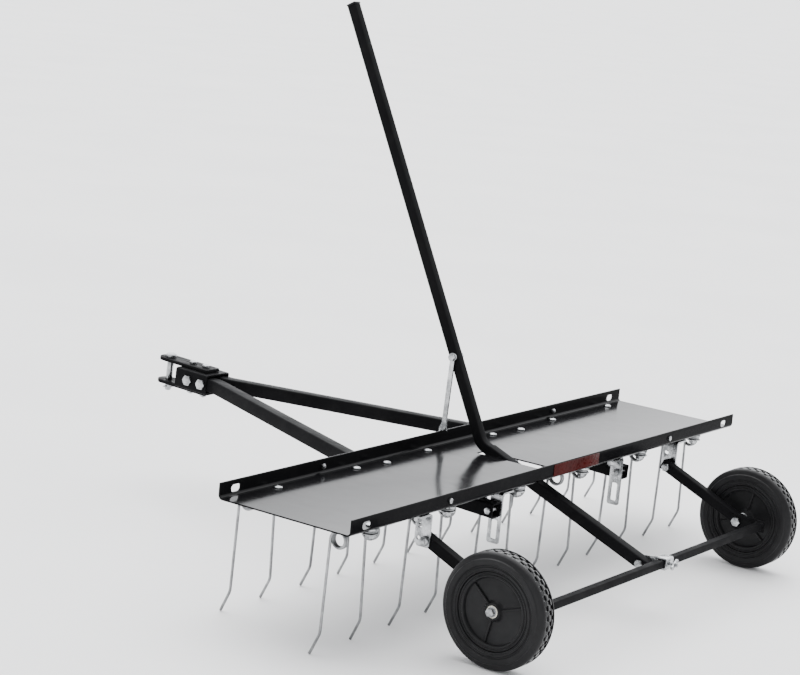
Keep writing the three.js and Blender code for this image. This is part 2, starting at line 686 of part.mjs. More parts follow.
// A hairpin clip: one leg goes through the pin, the other lies beside it.
function hitchClip() {
  const turn = arc([24, -5.4], 5.4, Math.PI / 2, -Math.PI / 2, 4);
  const line = [[-14, 0], ...turn, [12, -9.2], [2, -9], [-8, -11.5]];
  return swept(line.map(([x, y]) => new THREE.Vector3(x, y, 0)), 1.2, 6)
    .translate(0, STRAP.pin_y, HITCH_CLIP_Z);
}

// A zinc angle inside each tube: its cheek runs on below the tube as an open loop.
const TONGUE_BRACKET = { x1: TONGUE_X - TONGUE_SIDE / 2 - GAP, y0: 2, y1: 25, bottom: -85 };
const TONGUE_WINDOW = { y0: 8, y1: 19, z0: -78, z1: -46 };

function tongueBracket(sign) {
  const { x1, y0, y1, bottom } = TONGUE_BRACKET;
  const window = TONGUE_WINDOW;
  const cheek = box([x1 - 3, x1], [y0, y1], [bottom, -GAP]);
  const flange = box([x1 - 32, x1], [y0 + 1.5, y1], [-3 - GAP, -GAP]);
  const stud = deckStud(TONGUE_BRACKET_BOLT.x, TONGUE_BRACKET_BOLT.y);
  const boltZ = TONGUE_REAR_Z + TONGUE_BOLT_Y * TONGUE_SLOPE;
  const tools = [
    box([x1 - 9, x1 + 9], [window.y0, window.y1], [window.z0, window.z1]),
    rod(4.8, x1 - 9, x1 + 9, "x").translate(0, TONGUE_BOLT_Y, boltZ),
  ];
  const right = cut(join([cheek, flange, stud]), tools);
  return sign > 0 ? right : mirrored(right);
}

// The rear tongue bolt goes through the tube and the cheek: head outboard, nut inboard.
function tongueRearBolt() {
  const inboard = TONGUE_SIDE / 2 + 3 + 2 * GAP;
  return turned(boltShape({
    shank: 3.8, head: 5.8, headHeight: 3.5, top: TONGUE_SIDE / 2 + GAP,
    nut: 7, nutHeight: 6, bottom: -inboard, tail: 2,
  }), "x");
}

// The front tongue bolt: head on the deck, a spacer between deck and tube, and a nut below.
function tongueFrontBolt() {
  const tubeTop = TONGUE_REAR_Z + TONGUE_FRONT_BOLT_Y * TONGUE_SLOPE + TONGUE_SIDE / 2;
  const under = tubeTop - TONGUE_SIDE - 0.8;
  return turned([
    [0, under - 9], [3.8, under - 9], [3.8, under - 6], [6.8, under - 6], [6.8, under],
    [3.8, under], [3.8, tubeTop + 0.8], [8.5, tubeTop + 0.8], [8.5, -GAP], [3.8, -GAP],
    [3.8, SHEET + GAP], [7.2, SHEET + GAP], [6, SHEET + 2.8], [0, SHEET + 3.8],
  ], "z");
}

// ---------------------------------------------------------------- assembly
const machine = new THREE.Group();
const tongue = new THREE.Group();
tongue.position.set(0, 0, TONGUE_REAR_Z);
tongue.rotation.x = TONGUE_ANGLE;
machine.add(tongue);

machine.add(node("tray", tray(), paint()));
machine.add(node("rear_film", rearFilm(), redFilm()));

const tineGeometry = doubleTine();
for (const { name, x, y } of tinePlaces) machine.add(node(name, tineGeometry, wire(), [x, y, 0]));

for (const { name, sign } of SIDES) {
  const axle = [0, AXLE.y, AXLE.z];
  const wheelCentre = [sign * WHEEL_X, AXLE.y, AXLE.z];
  const flipped = sign < 0 ? Math.PI : 0;
  machine.add(node(`wheel_arm_${name}`, wheelArm(sign), paint()));
  machine.add(node(`tyre_${name}`, tyre(), rubber(), wheelCentre));
  machine.add(node(`wheel_rim_${name}`, wheelRim(), plastic(), wheelCentre));
  machine.add(node(`wheel_bush_${name}`, wheelBush(), nylon(), wheelCentre));
  machine.add(node(`axle_bolt_${name}`, axleBolt().rotateZ(flipped), zinc(), axle));
  const pivotBolt = armPivotBolt().rotateZ(sign > 0 ? Math.PI : 0);
  machine.add(node(`arm_pivot_bolt_${name}`, pivotBolt, zinc(), [0, PIVOT.y, PIVOT.z]));
  machine.add(node(`wheel_bracket_${name}`, wheelBracket(sign), zinc()));
  machine.add(node(`tongue_bracket_${name}`, tongueBracket(sign), zinc()));
  const frontBoltPlace = [sign * TONGUE_X, TONGUE_FRONT_BOLT_Y, 0];
  machine.add(node(`tongue_front_bolt_${name}`, tongueFrontBolt(), zinc(), frontBoltPlace));
  tongue.add(node(`tongue_tube_${name}`, tongueTube(sign), paint()));
  const rearBolt = tongueRearBolt().rotateZ(flipped);
  const rearBoltPlace = [sign * TONGUE_X, TONGUE_BOLT_Y, 0];
  tongue.add(node(`tongue_rear_bolt_${name}`, rearBolt, zinc(), rearBoltPlace));
  for (const [end, lipY] of [["rear", SHEET / 2], ["front", TRAY_DEPTH - SHEET / 2]]) {
    const place = [sign * LIP_BOLT.x, lipY, LIP_BOLT.z];
    machine.add(node(`lip_bolt_${end}_${name}`, lipBolt(lipY), zinc(), place));
  }
}

machine.add(node("crossbar", crossbar(), paint()));
machine.add(node("crossbar_clamp", crossbarClamp(), zinc()));
machine.add(node("clamp_bolt", clampBolt(), zinc(), [0, CLAMP_BOLT.y, CLAMP_BOLT.z]));
machine.add(node("lift_lever", liftLever(), paint()));
machine.add(node("handle_tube", handleTube(), paint()));
const handleBoltPlace = [0, HANDLE_BOLT.y, HANDLE_BOLT.z];
machine.add(node("handle_bolt", handleBolt(), paint(), handleBoltPlace));
const cap = node("handle_cap", handleCap(), plastic(), [0, HANDLE_TOP.y, HANDLE_TOP.z]);
cap.rotation.x = HANDLE_ANGLE - Math.PI / 2;
machine.add(cap);
machine.add(node("lift_stay", liftStay(), zinc()));
machine.add(node("stay_bolt", stayBolt(), zinc(), [0, STAY_BOLT.y, STAY_BOLT.z]));

tongue.add(node("hitch_block", hitchBlock(), paint()));
tongue.add(node("hitch_strap_upper", hitchStrap(1), paint()));
tongue.add(node("hitch_strap_lower", hitchStrap(-1), paint()));
HITCH_SIDE_BOLTS.forEach((y, i) => {
  tongue.add(node(`hitch_side_bolt_${i + 1}`, hitchSideBolt(), zinc(), [0, y, 0]));
});
HITCH_STRAP_BOLTS.forEach((y, i) => {
  tongue.add(node(`hitch_strap_bolt_${i + 1}`, hitchStrapBolt(), zinc(), [0, y, 0]));
});
tongue.add(node("hitch_pin", hitchPin(), zinc()));
tongue.add(node("hitch_clip", hitchClip(), zinc()));

// The wheels stand on z = 0, and y = 0 is under the middle of the machine's length.
const FRONT_Y = STRAP.y1 * Math.cos(TONGUE_ANGLE) + STRAP_OUTSIDE * TONGUE_SLOPE;
const CLAMP_BACK = CROSSBAR.y - CROSSBAR.side / 2 - CLAMP.clearance - CLAMP.wall;
const REAR_Y = Math.min(CLAMP_BACK - CLAMP.screwReach, AXLE.y - WHEEL_RADIUS);
machine.position.set(0, -(REAR_Y + FRONT_Y) / 2, WHEEL_RADIUS - AXLE.z);

const lawnDethatcher = new THREE.Group();
lawnDethatcher.add(machine);

export default lawnDethatcher;
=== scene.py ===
import json
import math
import random

import bmesh
import bpy
from mathutils import Matrix, Vector


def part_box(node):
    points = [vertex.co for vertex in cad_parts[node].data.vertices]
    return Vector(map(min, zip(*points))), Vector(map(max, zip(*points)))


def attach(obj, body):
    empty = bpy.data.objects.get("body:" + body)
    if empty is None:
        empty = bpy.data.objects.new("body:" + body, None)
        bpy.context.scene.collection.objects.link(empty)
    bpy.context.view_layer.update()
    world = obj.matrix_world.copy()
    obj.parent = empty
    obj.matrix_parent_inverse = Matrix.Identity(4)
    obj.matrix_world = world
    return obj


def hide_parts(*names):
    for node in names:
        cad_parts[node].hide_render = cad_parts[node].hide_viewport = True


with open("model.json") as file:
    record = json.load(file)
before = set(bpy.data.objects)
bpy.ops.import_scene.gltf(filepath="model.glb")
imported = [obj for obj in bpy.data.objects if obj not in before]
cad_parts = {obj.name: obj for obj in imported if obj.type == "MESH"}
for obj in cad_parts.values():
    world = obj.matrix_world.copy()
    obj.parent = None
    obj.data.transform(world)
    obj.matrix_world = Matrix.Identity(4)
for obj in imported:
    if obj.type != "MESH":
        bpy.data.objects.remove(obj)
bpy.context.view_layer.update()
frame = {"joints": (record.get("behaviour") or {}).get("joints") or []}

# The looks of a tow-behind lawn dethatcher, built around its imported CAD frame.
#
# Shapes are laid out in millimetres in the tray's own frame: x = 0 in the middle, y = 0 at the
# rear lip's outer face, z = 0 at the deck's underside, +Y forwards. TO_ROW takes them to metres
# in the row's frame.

MM = 0.001
GAP = 0.3  # millimetres between pieces that lie side by side
TRAY_LOW, TRAY_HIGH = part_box("tray")
TO_ROW = Matrix.Translation((0, TRAY_LOW.y, TRAY_LOW.z)) @ Matrix.Scale(MM, 4)
FROM_ROW = TO_ROW.inverted()
SIDES = (("left", -1), ("right", 1))  # each side's name and the sign of its x

# Which way a shape made along +Z points once it is turned.
ALONG_X = Matrix.Rotation(math.pi / 2, 4, "Y")
ALONG_MINUS_X = Matrix.Rotation(-math.pi / 2, 4, "Y")
ALONG_Y = Matrix.Rotation(-math.pi / 2, 4, "X")
ALONG_MINUS_Y = Matrix.Rotation(math.pi / 2, 4, "X")
OUTWARDS = {-1: ALONG_MINUS_X, 1: ALONG_X}
INWARDS = {-1: ALONG_X, 1: ALONG_MINUS_X}
UPSIDE_DOWN = Matrix.Rotation(math.pi, 4, "X")
MIRRORED = Matrix.Diagonal((-1, 1, 1, 1))
# A plate made in XY with its thickness along Z, stood up in the YZ plane with it along X.
STANDING = Matrix(((0, 0, 1, 0), (1, 0, 0, 0), (0, 1, 0, 0), (0, 0, 0, 1)))


def at(x, y, z):
    return Matrix.Translation((x, y, z))


# ------------------------------------------------------------------ sizes (millimetres)
WIDTH = (TRAY_HIGH.x - TRAY_LOW.x) / MM
DEPTH = (TRAY_HIGH.y - TRAY_LOW.y) / MM
LIP = (TRAY_HIGH.z - TRAY_LOW.z) / MM
SHEET = 2.5
FOLD = 7.5  # outer radius of the fold between deck and lip

SHANK = 3.8  # radius of all bolts but those of the lips, the arms and the axles
THREAD_PITCH = 1.25
BRACKET = 3  # thickness of the bent zinc brackets, the clamp's ear and the stay

PITCH = 101.6
TINES_PER_ROW = 6
WIRE = 2.25
COIL_RADIUS = 12.5
COIL_Y = 25.1
COIL_Z = -18.5
COIL_STEP = 4.8  # sideways, per turn
COIL_TURNS = 2.25
COIL_OUTER = 44  # x of the coil's outer end, from the bolt
BOLT_LOOP = 9.2  # radius of the wire's loop round its bolt
PRONG_KNEE_Z = -163
PRONG_TIP = (53.8, -197.4)  # y and z

JOINTS = {joint["name"]: FROM_ROW @ Vector(joint["pos_m"])
          for joint in frame["joints"] if "pos_m" in joint}
PIVOT = JOINTS["lift"]
AXLE = JOINTS["wheel_left_spin"]
STAY_BOLT = JOINTS["stay_swing"]
WHEEL_X = -AXLE.x
WHEEL_RADIUS = 89.5
TYRE_HALF = 21
RIM_RADIUS = 60
HUB_HALF = 17
HUB_RADIUS = 13
BUSH = (6.8, 9.5)  # inner and outer radius
AXLE_RADIUS = 6

ARM_SIDE = 18
ARM_X = 383
ARM_INNER = ARM_X - ARM_SIDE / 2
ARM_OUTER = ARM_X + ARM_SIDE / 2
CROSSBAR_Y = -185
CROSSBAR_Z = -108.5
CROSSBAR_SIDE = 13
LUG_SHEET = 4
LUG = (ARM_INNER - GAP - LUG_SHEET, ARM_INNER - GAP)  # inner and outer face

LEVER_SIDE = 19.8
LEVER_WALL = 1.0
LEVER_SLOPE = 0.391  # rise per millimetre forwards
LEVER_Z = -51.2  # of the lever's middle line at y = 0
LEVER_END_Y = -173
LEVER_TOP_Y = 154
ELBOW_Y = 172.3
HANDLE_SIDE = 17.2
HANDLE_TOP = Vector((0, 523.8, 723.7))
CLAMP_Y = -156  # of the bolt through lever and clamp
HANDLE_BOLT_Y = 128
SLOT = (-13.6, 13.6, 42, 173)  # x from and to, y from and to

TONGUE_SIDE = 24
TONGUE_X = 207
TONGUE_TIP_X = 17
TONGUE_ENDS = (4, 826)  # y of the tubes' rear and front end
TONGUE_BENDS = (250, 745)  # y of the rear and the front bend
TONGUE_REAR_BOLT_Y = 12
TONGUE_FRONT_BOLT_Y = 222
TONGUE_REAR_Z = -27.5  # of the tubes' middle line at y = 0
TONGUE_SLOPE = 0.0417
HITCH_SIDE_BOLTS = (771, 803)  # y of each
HITCH_STRAP_BOLTS = (790, 821)  # y of each
HITCH_WIDTH = 65
HITCH_HEIGHT = 36.4
HITCH_WALL = 3
HITCH_ENDS = (760, 834)  # y of the block's rear and front end
PIN_Y = 876
STRAP = (18.5, 24.5)  # inner and outer face, from the tongue's middle
STRAP_HALF = 19  # half the strap's width
CLIP_Z = -STRAP[1] - 7  # below the tongue's middle
TONGUE = at(0, 0, TONGUE_REAR_Z) @ Matrix.Rotation(math.asin(TONGUE_SLOPE), 4, "X")


def on_lever(y):
    return Vector((0, y, LEVER_Z + y * LEVER_SLOPE))


# ------------------------------------------------------------------ shapes
def moved(shape, matrix):
    points, faces = shape
    return [matrix @ Vector(point) for point in points], faces


def joined(*shapes):
    points, faces = [], []
    for more_points, more_faces in shapes:
        start = len(points)
        points += [Vector(point) for point in more_points]
        faces += [tuple(start + index for index in face) for face in more_faces]
    return points, faces


def loft(rings, loop=False, caps=True):
    """Skins a row of closed rings. A loop joins the last to the first, else the ends may be capped."""
    size, count = len(rings[0]), len(rings)
    points = [point for ring in rings for point in ring]
    faces = []
    for i in range(count if loop else count - 1):
        a, b = i * size, (i + 1) % count * size
        faces += [(a + k, a + (k + 1) % size, b + (k + 1) % size, b + k) for k in range(size)]
    if caps and not loop:
        faces += [tuple(range(size)), tuple(range((count - 1) * size, count * size))]
    return points, faces


def lathe(profile, sides=48):
    """Turns (radius, height) points round Z. The profile closes on itself or runs axis to axis."""
    rings = []
    for i in range(sides):
        angle = 2 * math.pi * i / sides
        c, s = math.cos(angle), math.sin(angle)
        rings.append([Vector((r * c, r * s, h)) for r, h in profile])
    return loft(rings, loop=True)


def arc(centre, radius, start, end, steps):
    """Points of an arc in a plane; angles in degrees."""
    angles = [math.radians(start + (end - start) * i / steps) for i in range(steps + 1)]
    return [(centre[0] + radius * math.cos(a), centre[1] + radius * math.sin(a)) for a in angles]


def circle(x, y, radius, steps=28):
    return arc((x, y), radius, 0, 360, steps)[:-1]


def rounded(low, high, radius, steps=4):
    """A rectangle with round corners, from two corners."""
    (x0, y0), (x1, y1), r = low, high, radius
    corners = (((x1 - r, y1 - r), 0), ((x0 + r, y1 - r), 90), ((x0 + r, y0 + r), 180),
               ((x1 - r, y0 + r), 270))
    return [point for centre, start in corners for point in arc(centre, r, start, start + 90, steps)]


def soft_block(low, high, radius):
    """A box whose upright and level edges are all rounded."""
    def ring(z, inset):
        outline = rounded((low[0] + inset, low[1] + inset), (high[0] - inset, high[1] - inset),
                          max(radius - inset, 0.05))
        return [Vector((x, y, z)) for x, y in outline]
    steps = [(radius * (1 - math.sin(a)), radius * (1 - math.cos(a)))
             for a in (0, math.pi / 6, math.pi / 3, math.pi / 2)]
    bottom = [ring(low[2] + down, inset) for inset, down in steps]
    top = [ring(high[2] - down, inset) for inset, down in steps[::-1]]
    return loft(bottom + top)


def hexagon(across, low, high, chamfers=(True, True)):
    """A hex nut or head between two heights, its corners turned off as on a lathe."""
    half = across / 2
    flat = half * 0.96
    sides = 36
    angles = [2 * math.pi * i / sides for i in range(sides)]
    reach = [half / math.cos((a + math.pi / 6) % (math.pi / 3) - math.pi / 6) for a in angles]

    def ring(height, chamfered, sign):
        heights = [height - sign * (r - flat) * 0.6 * chamfered for r in reach]
        return [Vector((r * math.cos(a), r * math.sin(a), h))
                for r, a, h in zip(reach, angles, heights)]

    def face(height):
        return [Vector((flat * math.cos(a), flat * math.sin(a), height)) for a in angles]
    return loft([face(low), ring(low, chamfers[0], -1), ring(high, chamfers[1], 1), face(high)])


def washer(inner, outer, low, high):
    edge = min(0.35, (high - low) / 3)
    return lathe([(inner, low), (outer - edge, low), (outer, low + edge), (outer, high - edge),
                  (outer - edge, high), (inner, high)], 40)


def threaded(radius, low, high):
    """A threaded rod's end; the tip is at the lower height."""
    profile = [(0, low), (radius * 0.72, low)]
    turns = max(int((high - low) / THREAD_PITCH - 1), 1)
    for i in range(turns):
        start = low + THREAD_PITCH * (0.6 + i)
        profile += [(radius, start), (radius, start + THREAD_PITCH * 0.2),
                    (radius * 0.86, start + THREAD_PITCH * 0.6)]
    profile += [(radius, high), (0, high)]
    return lathe(profile, 28)


def hex_bolt(shank, across, top, bottom, head, nut, tail):
    """Head above top, nut below bottom, and the thread's tail past the nut."""
    return joined(
        lathe([(0, bottom), (shank, bottom), (shank, top), (0, top)], 28),
        hexagon(across, top, top + head, (False, True)),
        hexagon(across, bottom - nut, bottom),
        threaded(shank, bottom - nut - tail, bottom - nut),
    )


def dome(radius, low, height):
    """A carriage bolt's head."""
    brim = low + 0.8
    curve = [(radius * math.cos(a), brim + (height - 0.8) * math.sin(a))
             for a in (math.radians(degrees) for degrees in range(0, 91, 10))]
    return lathe([(0, low), (radius - 0.4, low), (radius, low + 0.4)] + curve, 40)


def extruded(outline, low, high):
    """An outline in XY between two heights."""
    return loft([[Vector((x, y, z)) for x, y in outline] for z in (low, high)])


def plate(outline, holes, thickness, bevel):
    """A flat plate in XY, its thickness upwards from z = 0, with holes and softened edges."""
    curve = bpy.data.curves.new("plate", "CURVE")
    curve.dimensions = "2D"
    curve.fill_mode = "BOTH"
    curve.extrude = thickness / 2 - bevel
    curve.bevel_depth = bevel
    curve.bevel_resolution = 1
    curve.offset = -bevel
    for loop in (outline, *holes):
        spline = curve.splines.new("POLY")
        spline.points.add(len(loop) - 1)
        for point, (x, y) in zip(spline.points, loop):
            point.co = (x, y, 0, 1)
        spline.use_cyclic_u = True
    holder = bpy.data.objects.new("plate", curve)
    mesh = holder.to_mesh()
    lift = Vector((0, 0, thickness / 2))
    shape = ([vertex.co.copy() + lift for vertex in mesh.vertices],
             [tuple(polygon.vertices) for polygon in mesh.polygons])
    holder.to_mesh_clear()
    bpy.data.objects.remove(holder)
    bpy.data.curves.remove(curve)
    return shape


def mesh_of(name, shape):
    """A mesh with welded points and faces turned outwards."""
    points, faces = shape
    mesh = bpy.data.meshes.new(name)
    mesh.from_pydata([tuple(point) for point in points], [], faces)
    work = bmesh.new()
    work.from_mesh(mesh)
    bmesh.ops.remove_doubles(work, verts=work.verts, dist=1e-3)
    bmesh.ops.dissolve_degenerate(work, edges=work.edges, dist=1e-4)
    bmesh.ops.recalc_face_normals(work, faces=work.faces)
    work.to_mesh(mesh)
    work.free()
    return mesh


def carved(shape, cutters):
    """The shape with every cutter taken out of it."""
    scene = bpy.context.scene.collection
    body = bpy.data.objects.new("carved", mesh_of("carved", shape))
    tool = bpy.data.objects.new("tool", mesh_of("tool", joined(*cutters)))
    scene.objects.link(body)
    scene.objects.link(tool)
    cut = body.modifiers.new("cut", "BOOLEAN")
    cut.operation = "DIFFERENCE"
    cut.solver = "EXACT"
    cut.object = tool
    mesh = body.evaluated_get(bpy.context.evaluated_depsgraph_get()).to_mesh()
    result = ([vertex.co.copy() for vertex in mesh.vertices],
              [tuple(polygon.vertices) for polygon in mesh.polygons])
    for used in (body, tool):
        data = used.data
        bpy.data.objects.remove(used)
        bpy.data.meshes.remove(data)
    return result


def drill(radius, low, high, matrix):
    """A cutter for a round hole, made along Z and then placed."""
    return moved(extruded(circle(0, 0, radius), low, high), matrix)


def bent(points, radius, steps=8):
    """A path whose inner corners are replaced by arcs."""
    points = [Vector(point) for point in points]
    path = [points[0]]
    for before, corner, after in zip(points, points[1:], points[2:]):
        back, on = (before - corner).normalized(), (after - corner).normalized()
        half = back.angle(on) / 2
        centre = corner + (back + on).normalized() * radius / math.sin(half)
        first = corner + back * radius / math.tan(half) - centre
        axis = first.cross(on).normalized()
        sweep = math.pi - 2 * half
        path += [centre + Matrix.Rotation(sweep * i / steps, 3, axis) @ first
                 for i in range(steps + 1)]
    return path + [points[-1]]


def square_tube(path, across, side, wall, corner):
    """A hollow square tube with round corners along a flat path; across is its plane's normal."""
    across = Vector(across)
    path = [Vector(point) for point in path]

    def rings(size, radius):
        outline = rounded((-size / 2, -size / 2), (size / 2, size / 2), radius)
        made = []
        for i, point in enumerate(path):
            into = (point - path[max(i - 1, 0)]).normalized() if i else None
            out = (path[i + 1] - point).normalized() if i < len(path) - 1 else None
            first, last = into or out, out or into
            half = first.angle(last, 0) / 2
            normal = across.cross((first + last).normalized()) / math.cos(half)
            made.append([point + across * a + normal * b for a, b in outline])
        return made
    outer = rings(side, corner)
    inner = rings(side - 2 * wall, max(corner - wall, 0.4))
    skin, bore = loft(outer, caps=False), loft(inner, caps=False)
    shape = joined(skin, bore)
    size, last = len(outer[0]), (len(path) - 1) * len(outer[0])
    shift = len(skin[0])
    for start in (0, last):
        shape[1].extend((start + k, start + (k + 1) % size, shift + start + (k + 1) % size,
                         shift + start + k) for k in range(size))
    return shape


def wire(points, radius):
    """A round wire along a smooth path, its frames carried along it, its ends slightly domed."""
    sides = 10
    points = [Vector(point) for point in points]
    tangents = []
    for i in range(len(points)):
        tangents.append((points[min(i + 1, len(points) - 1)] - points[max(i - 1, 0)]).normalized())
    normal = tangents[0].orthogonal().normalized()
    rings = []
    for i, (point, tangent) in enumerate(zip(points, tangents)):
        normal = (normal - tangent * normal.dot(tangent)).normalized()
        side = tangent.cross(normal)

        def ring(size, shift):
            return [point + tangent * shift + (normal * math.cos(a) + side * math.sin(a)) * size
                    for a in (2 * math.pi * k / sides for k in range(sides))]
        if i == 0:
            rings += [ring(radius * 0.6, -radius * 0.3), ring(radius, 0)]
        elif i == len(points) - 1:
            rings += [ring(radius, 0), ring(radius * 0.6, radius * 0.3)]
        else:
            rings.append(ring(radius, 0))
    return loft(rings)


def finish(name, shape, material, body, replaced=None, smooth=38):
    """Makes a piece: the shape goes to the row's frame, then rides on its body."""
    mesh = mesh_of(name, shape)
    mesh.transform(TO_ROW)
    mesh.polygons.foreach_set("use_smooth", [True] * len(mesh.polygons))
    mesh.set_sharp_from_angle(angle=math.radians(smooth))
    mesh.materials.append(material)
    piece = bpy.data.objects.new(name, mesh)
    bpy.context.scene.collection.objects.link(piece)
    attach(piece, body)
    if replaced:
        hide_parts(replaced)
    return piece


# ------------------------------------------------------------------ materials
BLACK = (0.004, 0.004, 0.0045)
TUBE_BLACK = (0.0055, 0.0055, 0.006)
RUBBER_BLACK = (0.0050, 0.0050, 0.0055)
DUST = (0.30, 0.29, 0.27)


class Nodes:
    """A material's node tree with the few helpers that every material here needs."""

    def __init__(self, name):
        self.material = bpy.data.materials.new(name)
        self.material.use_nodes = True
        self.tree = self.material.node_tree
        self.shader = self.tree.nodes["Principled BSDF"]
        self.place = self.tree.nodes.new("ShaderNodeTexCoord").outputs["Object"]

    def link(self, source, target):
        self.tree.links.new(source, target)

    def noise(self, scale, detail=4.0, rough=0.55, stretch=None):
        node = self.tree.nodes.new("ShaderNodeTexNoise")
        node.inputs["Scale"].default_value = scale
        node.inputs["Detail"].default_value = detail
        node.inputs["Roughness"].default_value = rough
        place = self.place
        if stretch:
            mapping = self.tree.nodes.new("ShaderNodeMapping")
            mapping.inputs["Scale"].default_value = stretch
            self.link(place, mapping.inputs["Vector"])
            place = mapping.outputs["Vector"]
        self.link(place, node.inputs["Vector"])
        return node.outputs["Fac"]

    def ramp(self, source, stops):
        """Maps a value to colours; stops are (position, colour)."""
        node = self.tree.nodes.new("ShaderNodeValToRGB")
        elements = node.color_ramp.elements
        while len(elements) < len(stops):
            elements.new(0.5)
        for element, (position, colour) in zip(elements, stops):
            element.position = position
            element.color = (*colour, 1)
        self.link(source, node.inputs["Fac"])
        return node.outputs["Color"]

    def between(self, source, low, high, start=0.3, end=0.7):
        """Maps a value from start..end to low..high."""
        node = self.tree.nodes.new("ShaderNodeMapRange")
        for key, value in (("From Min", start), ("From Max", end), ("To Min", low), ("To Max", high)):
            node.inputs[key].default_value = value
        self.link(source, node.inputs["Value"])
        return node.outputs["Result"]

    def blend(self, factor, first, second):
        """Mixes two colours; each value is a socket or a constant."""
        node = self.tree.nodes.new("ShaderNodeMix")
        node.data_type = "RGBA"
        for socket, value in ((node.inputs["Factor"], factor), (node.inputs[6], first),
                              (node.inputs[7], second)):
            if isinstance(value, bpy.types.NodeSocket):
                self.link(value, socket)
            else:
                socket.default_value = value if isinstance(value, float) else (*value, 1)
        return node.outputs[2]

    def bumps(self, *layers):
        """Stacks bumps, each (height, strength, distance in metres)."""
        normal = None
        for height, strength, distance in layers:
            node = self.tree.nodes.new("ShaderNodeBump")
            node.inputs["Strength"].default_value = strength
            node.inputs["Distance"].default_value = distance
            self.link(height, node.inputs["Height"])
            if normal:
                self.link(normal, node.inputs["Normal"])
            normal = node.outputs["Normal"]
        self.link(normal, self.shader.inputs["Normal"])

    def worn(self):
        """1 along the edges of a piece and 0 on its faces, broken up by noise."""
        bevel = self.tree.nodes.new("ShaderNodeBevel")
        bevel.samples = 4
        bevel.inputs["Radius"].default_value = 0.0009
        geometry = self.tree.nodes.new("ShaderNodeNewGeometry")
        dot = self.tree.nodes.new("ShaderNodeVectorMath")
        dot.operation = "DOT_PRODUCT"
        self.link(bevel.outputs["Normal"], dot.inputs[0])
        self.link(geometry.outputs["Normal"], dot.inputs[1])
        edge = self.between(dot.outputs["Value"], 1.0, 0.0, 0.86, 0.985)
        broken = self.tree.nodes.new("ShaderNodeMath")
        broken.operation = "MULTIPLY"
        self.link(edge, broken.inputs[0])
        self.link(self.between(self.noise(160, 5), 0.0, 1.0, 0.48, 0.66), broken.inputs[1])
        return broken.outputs["Value"]


def paint(name, colour, roughness, specular):
    """Black powder coat: fine orange peel, faint dust and scuffs, edges rubbed a little paler."""
    m = Nodes(name)
    mottle = m.ramp(m.noise(7, 6), [(0.35, colour), (0.75, [c * 1.5 for c in colour])])
    dusty = m.between(m.noise(26, 8, 0.7), 0.0, 0.0175, 0.5, 0.8)
    base = m.blend(dusty, mottle, DUST)
    base = m.blend(m.worn(), base, [c * 3 + 0.02 for c in colour])
    m.link(base, m.shader.inputs["Base Color"])
    spread = m.noise(60, 6, 0.7, (1.0, 0.25, 1.0))
    m.link(m.between(spread, roughness * 0.8, roughness * 1.3), m.shader.inputs["Roughness"])
    m.shader.inputs["Specular IOR Level"].default_value = specular
    m.bumps((m.noise(950, 2), 0.25, 0.00005), (m.noise(9, 3), 0.35, 0.0006))
    return m.material


def plated(name, dark, light, roughness):
    """Bright zinc plate on steel, with cloudy patches, a fine grain and dulled spots."""
    m = Nodes(name)
    cloudy = m.ramp(m.noise(55, 7, 0.6), [(0.3, dark), (0.7, light)])
    grains = m.blend(0.12, cloudy, m.ramp(m.noise(420, 2), [(0.4, dark), (0.6, light)]))
    m.link(grains, m.shader.inputs["Base Color"])
    m.shader.inputs["Metallic"].default_value = 1.0
    spread = m.noise(120, 6, 0.7)
    m.link(m.between(spread, roughness * 0.75, roughness * 1.4), m.shader.inputs["Roughness"])
    m.bumps((m.noise(900, 3, 0.6), 0.3, 0.00004), (m.noise(70, 4), 0.25, 0.0002))
    return m.material


def moulded(name, colour, roughness, grain, specular=0.4):
    """Moulded rubber or plastic: a fine matt grain and a little uneven bloom."""
    m = Nodes(name)
    bloom = m.ramp(m.noise(20, 6, 0.6), [(0.35, colour), (0.75, [c * 1.8 + 0.002 for c in colour])])
    m.link(bloom, m.shader.inputs["Base Color"])
    m.link(m.between(m.noise(90, 5), roughness * 0.85, roughness * 1.2),
           m.shader.inputs["Roughness"])
    m.shader.inputs["Specular IOR Level"].default_value = specular
    m.bumps((m.noise(1300, 3), 0.4, grain), (m.noise(40, 4), 0.2, 0.0002))
    return m.material


def red_film():
    """Plain dark red vinyl film with small bubbles and a softly uneven tone."""
    m = Nodes("red_film")
    tone = m.ramp(m.noise(18, 4), [(0.3, (0.022, 0.0022, 0.002)), (0.7, (0.062, 0.005, 0.004))])
    m.link(tone, m.shader.inputs["Base Color"])
    m.link(m.between(m.noise(200, 4), 0.22, 0.38), m.shader.inputs["Roughness"])
    m.shader.inputs["Specular IOR Level"].default_value = 0.05
    m.bumps((m.noise(300, 3), 0.2, 0.00004), (m.noise(60, 2), 0.2, 0.0001))
    return m.material


def floor_material():
    m = Nodes("studio_floor")
    m.link(m.ramp(m.noise(1.5, 3), [(0.3, (0.80, 0.80, 0.80)), (0.7, (0.84, 0.84, 0.84))]),
           m.shader.inputs["Base Color"])
    m.shader.inputs["Roughness"].default_value = 0.75
    m.bumps((m.noise(200, 3), 0.1, 0.0002),)
    return m.material


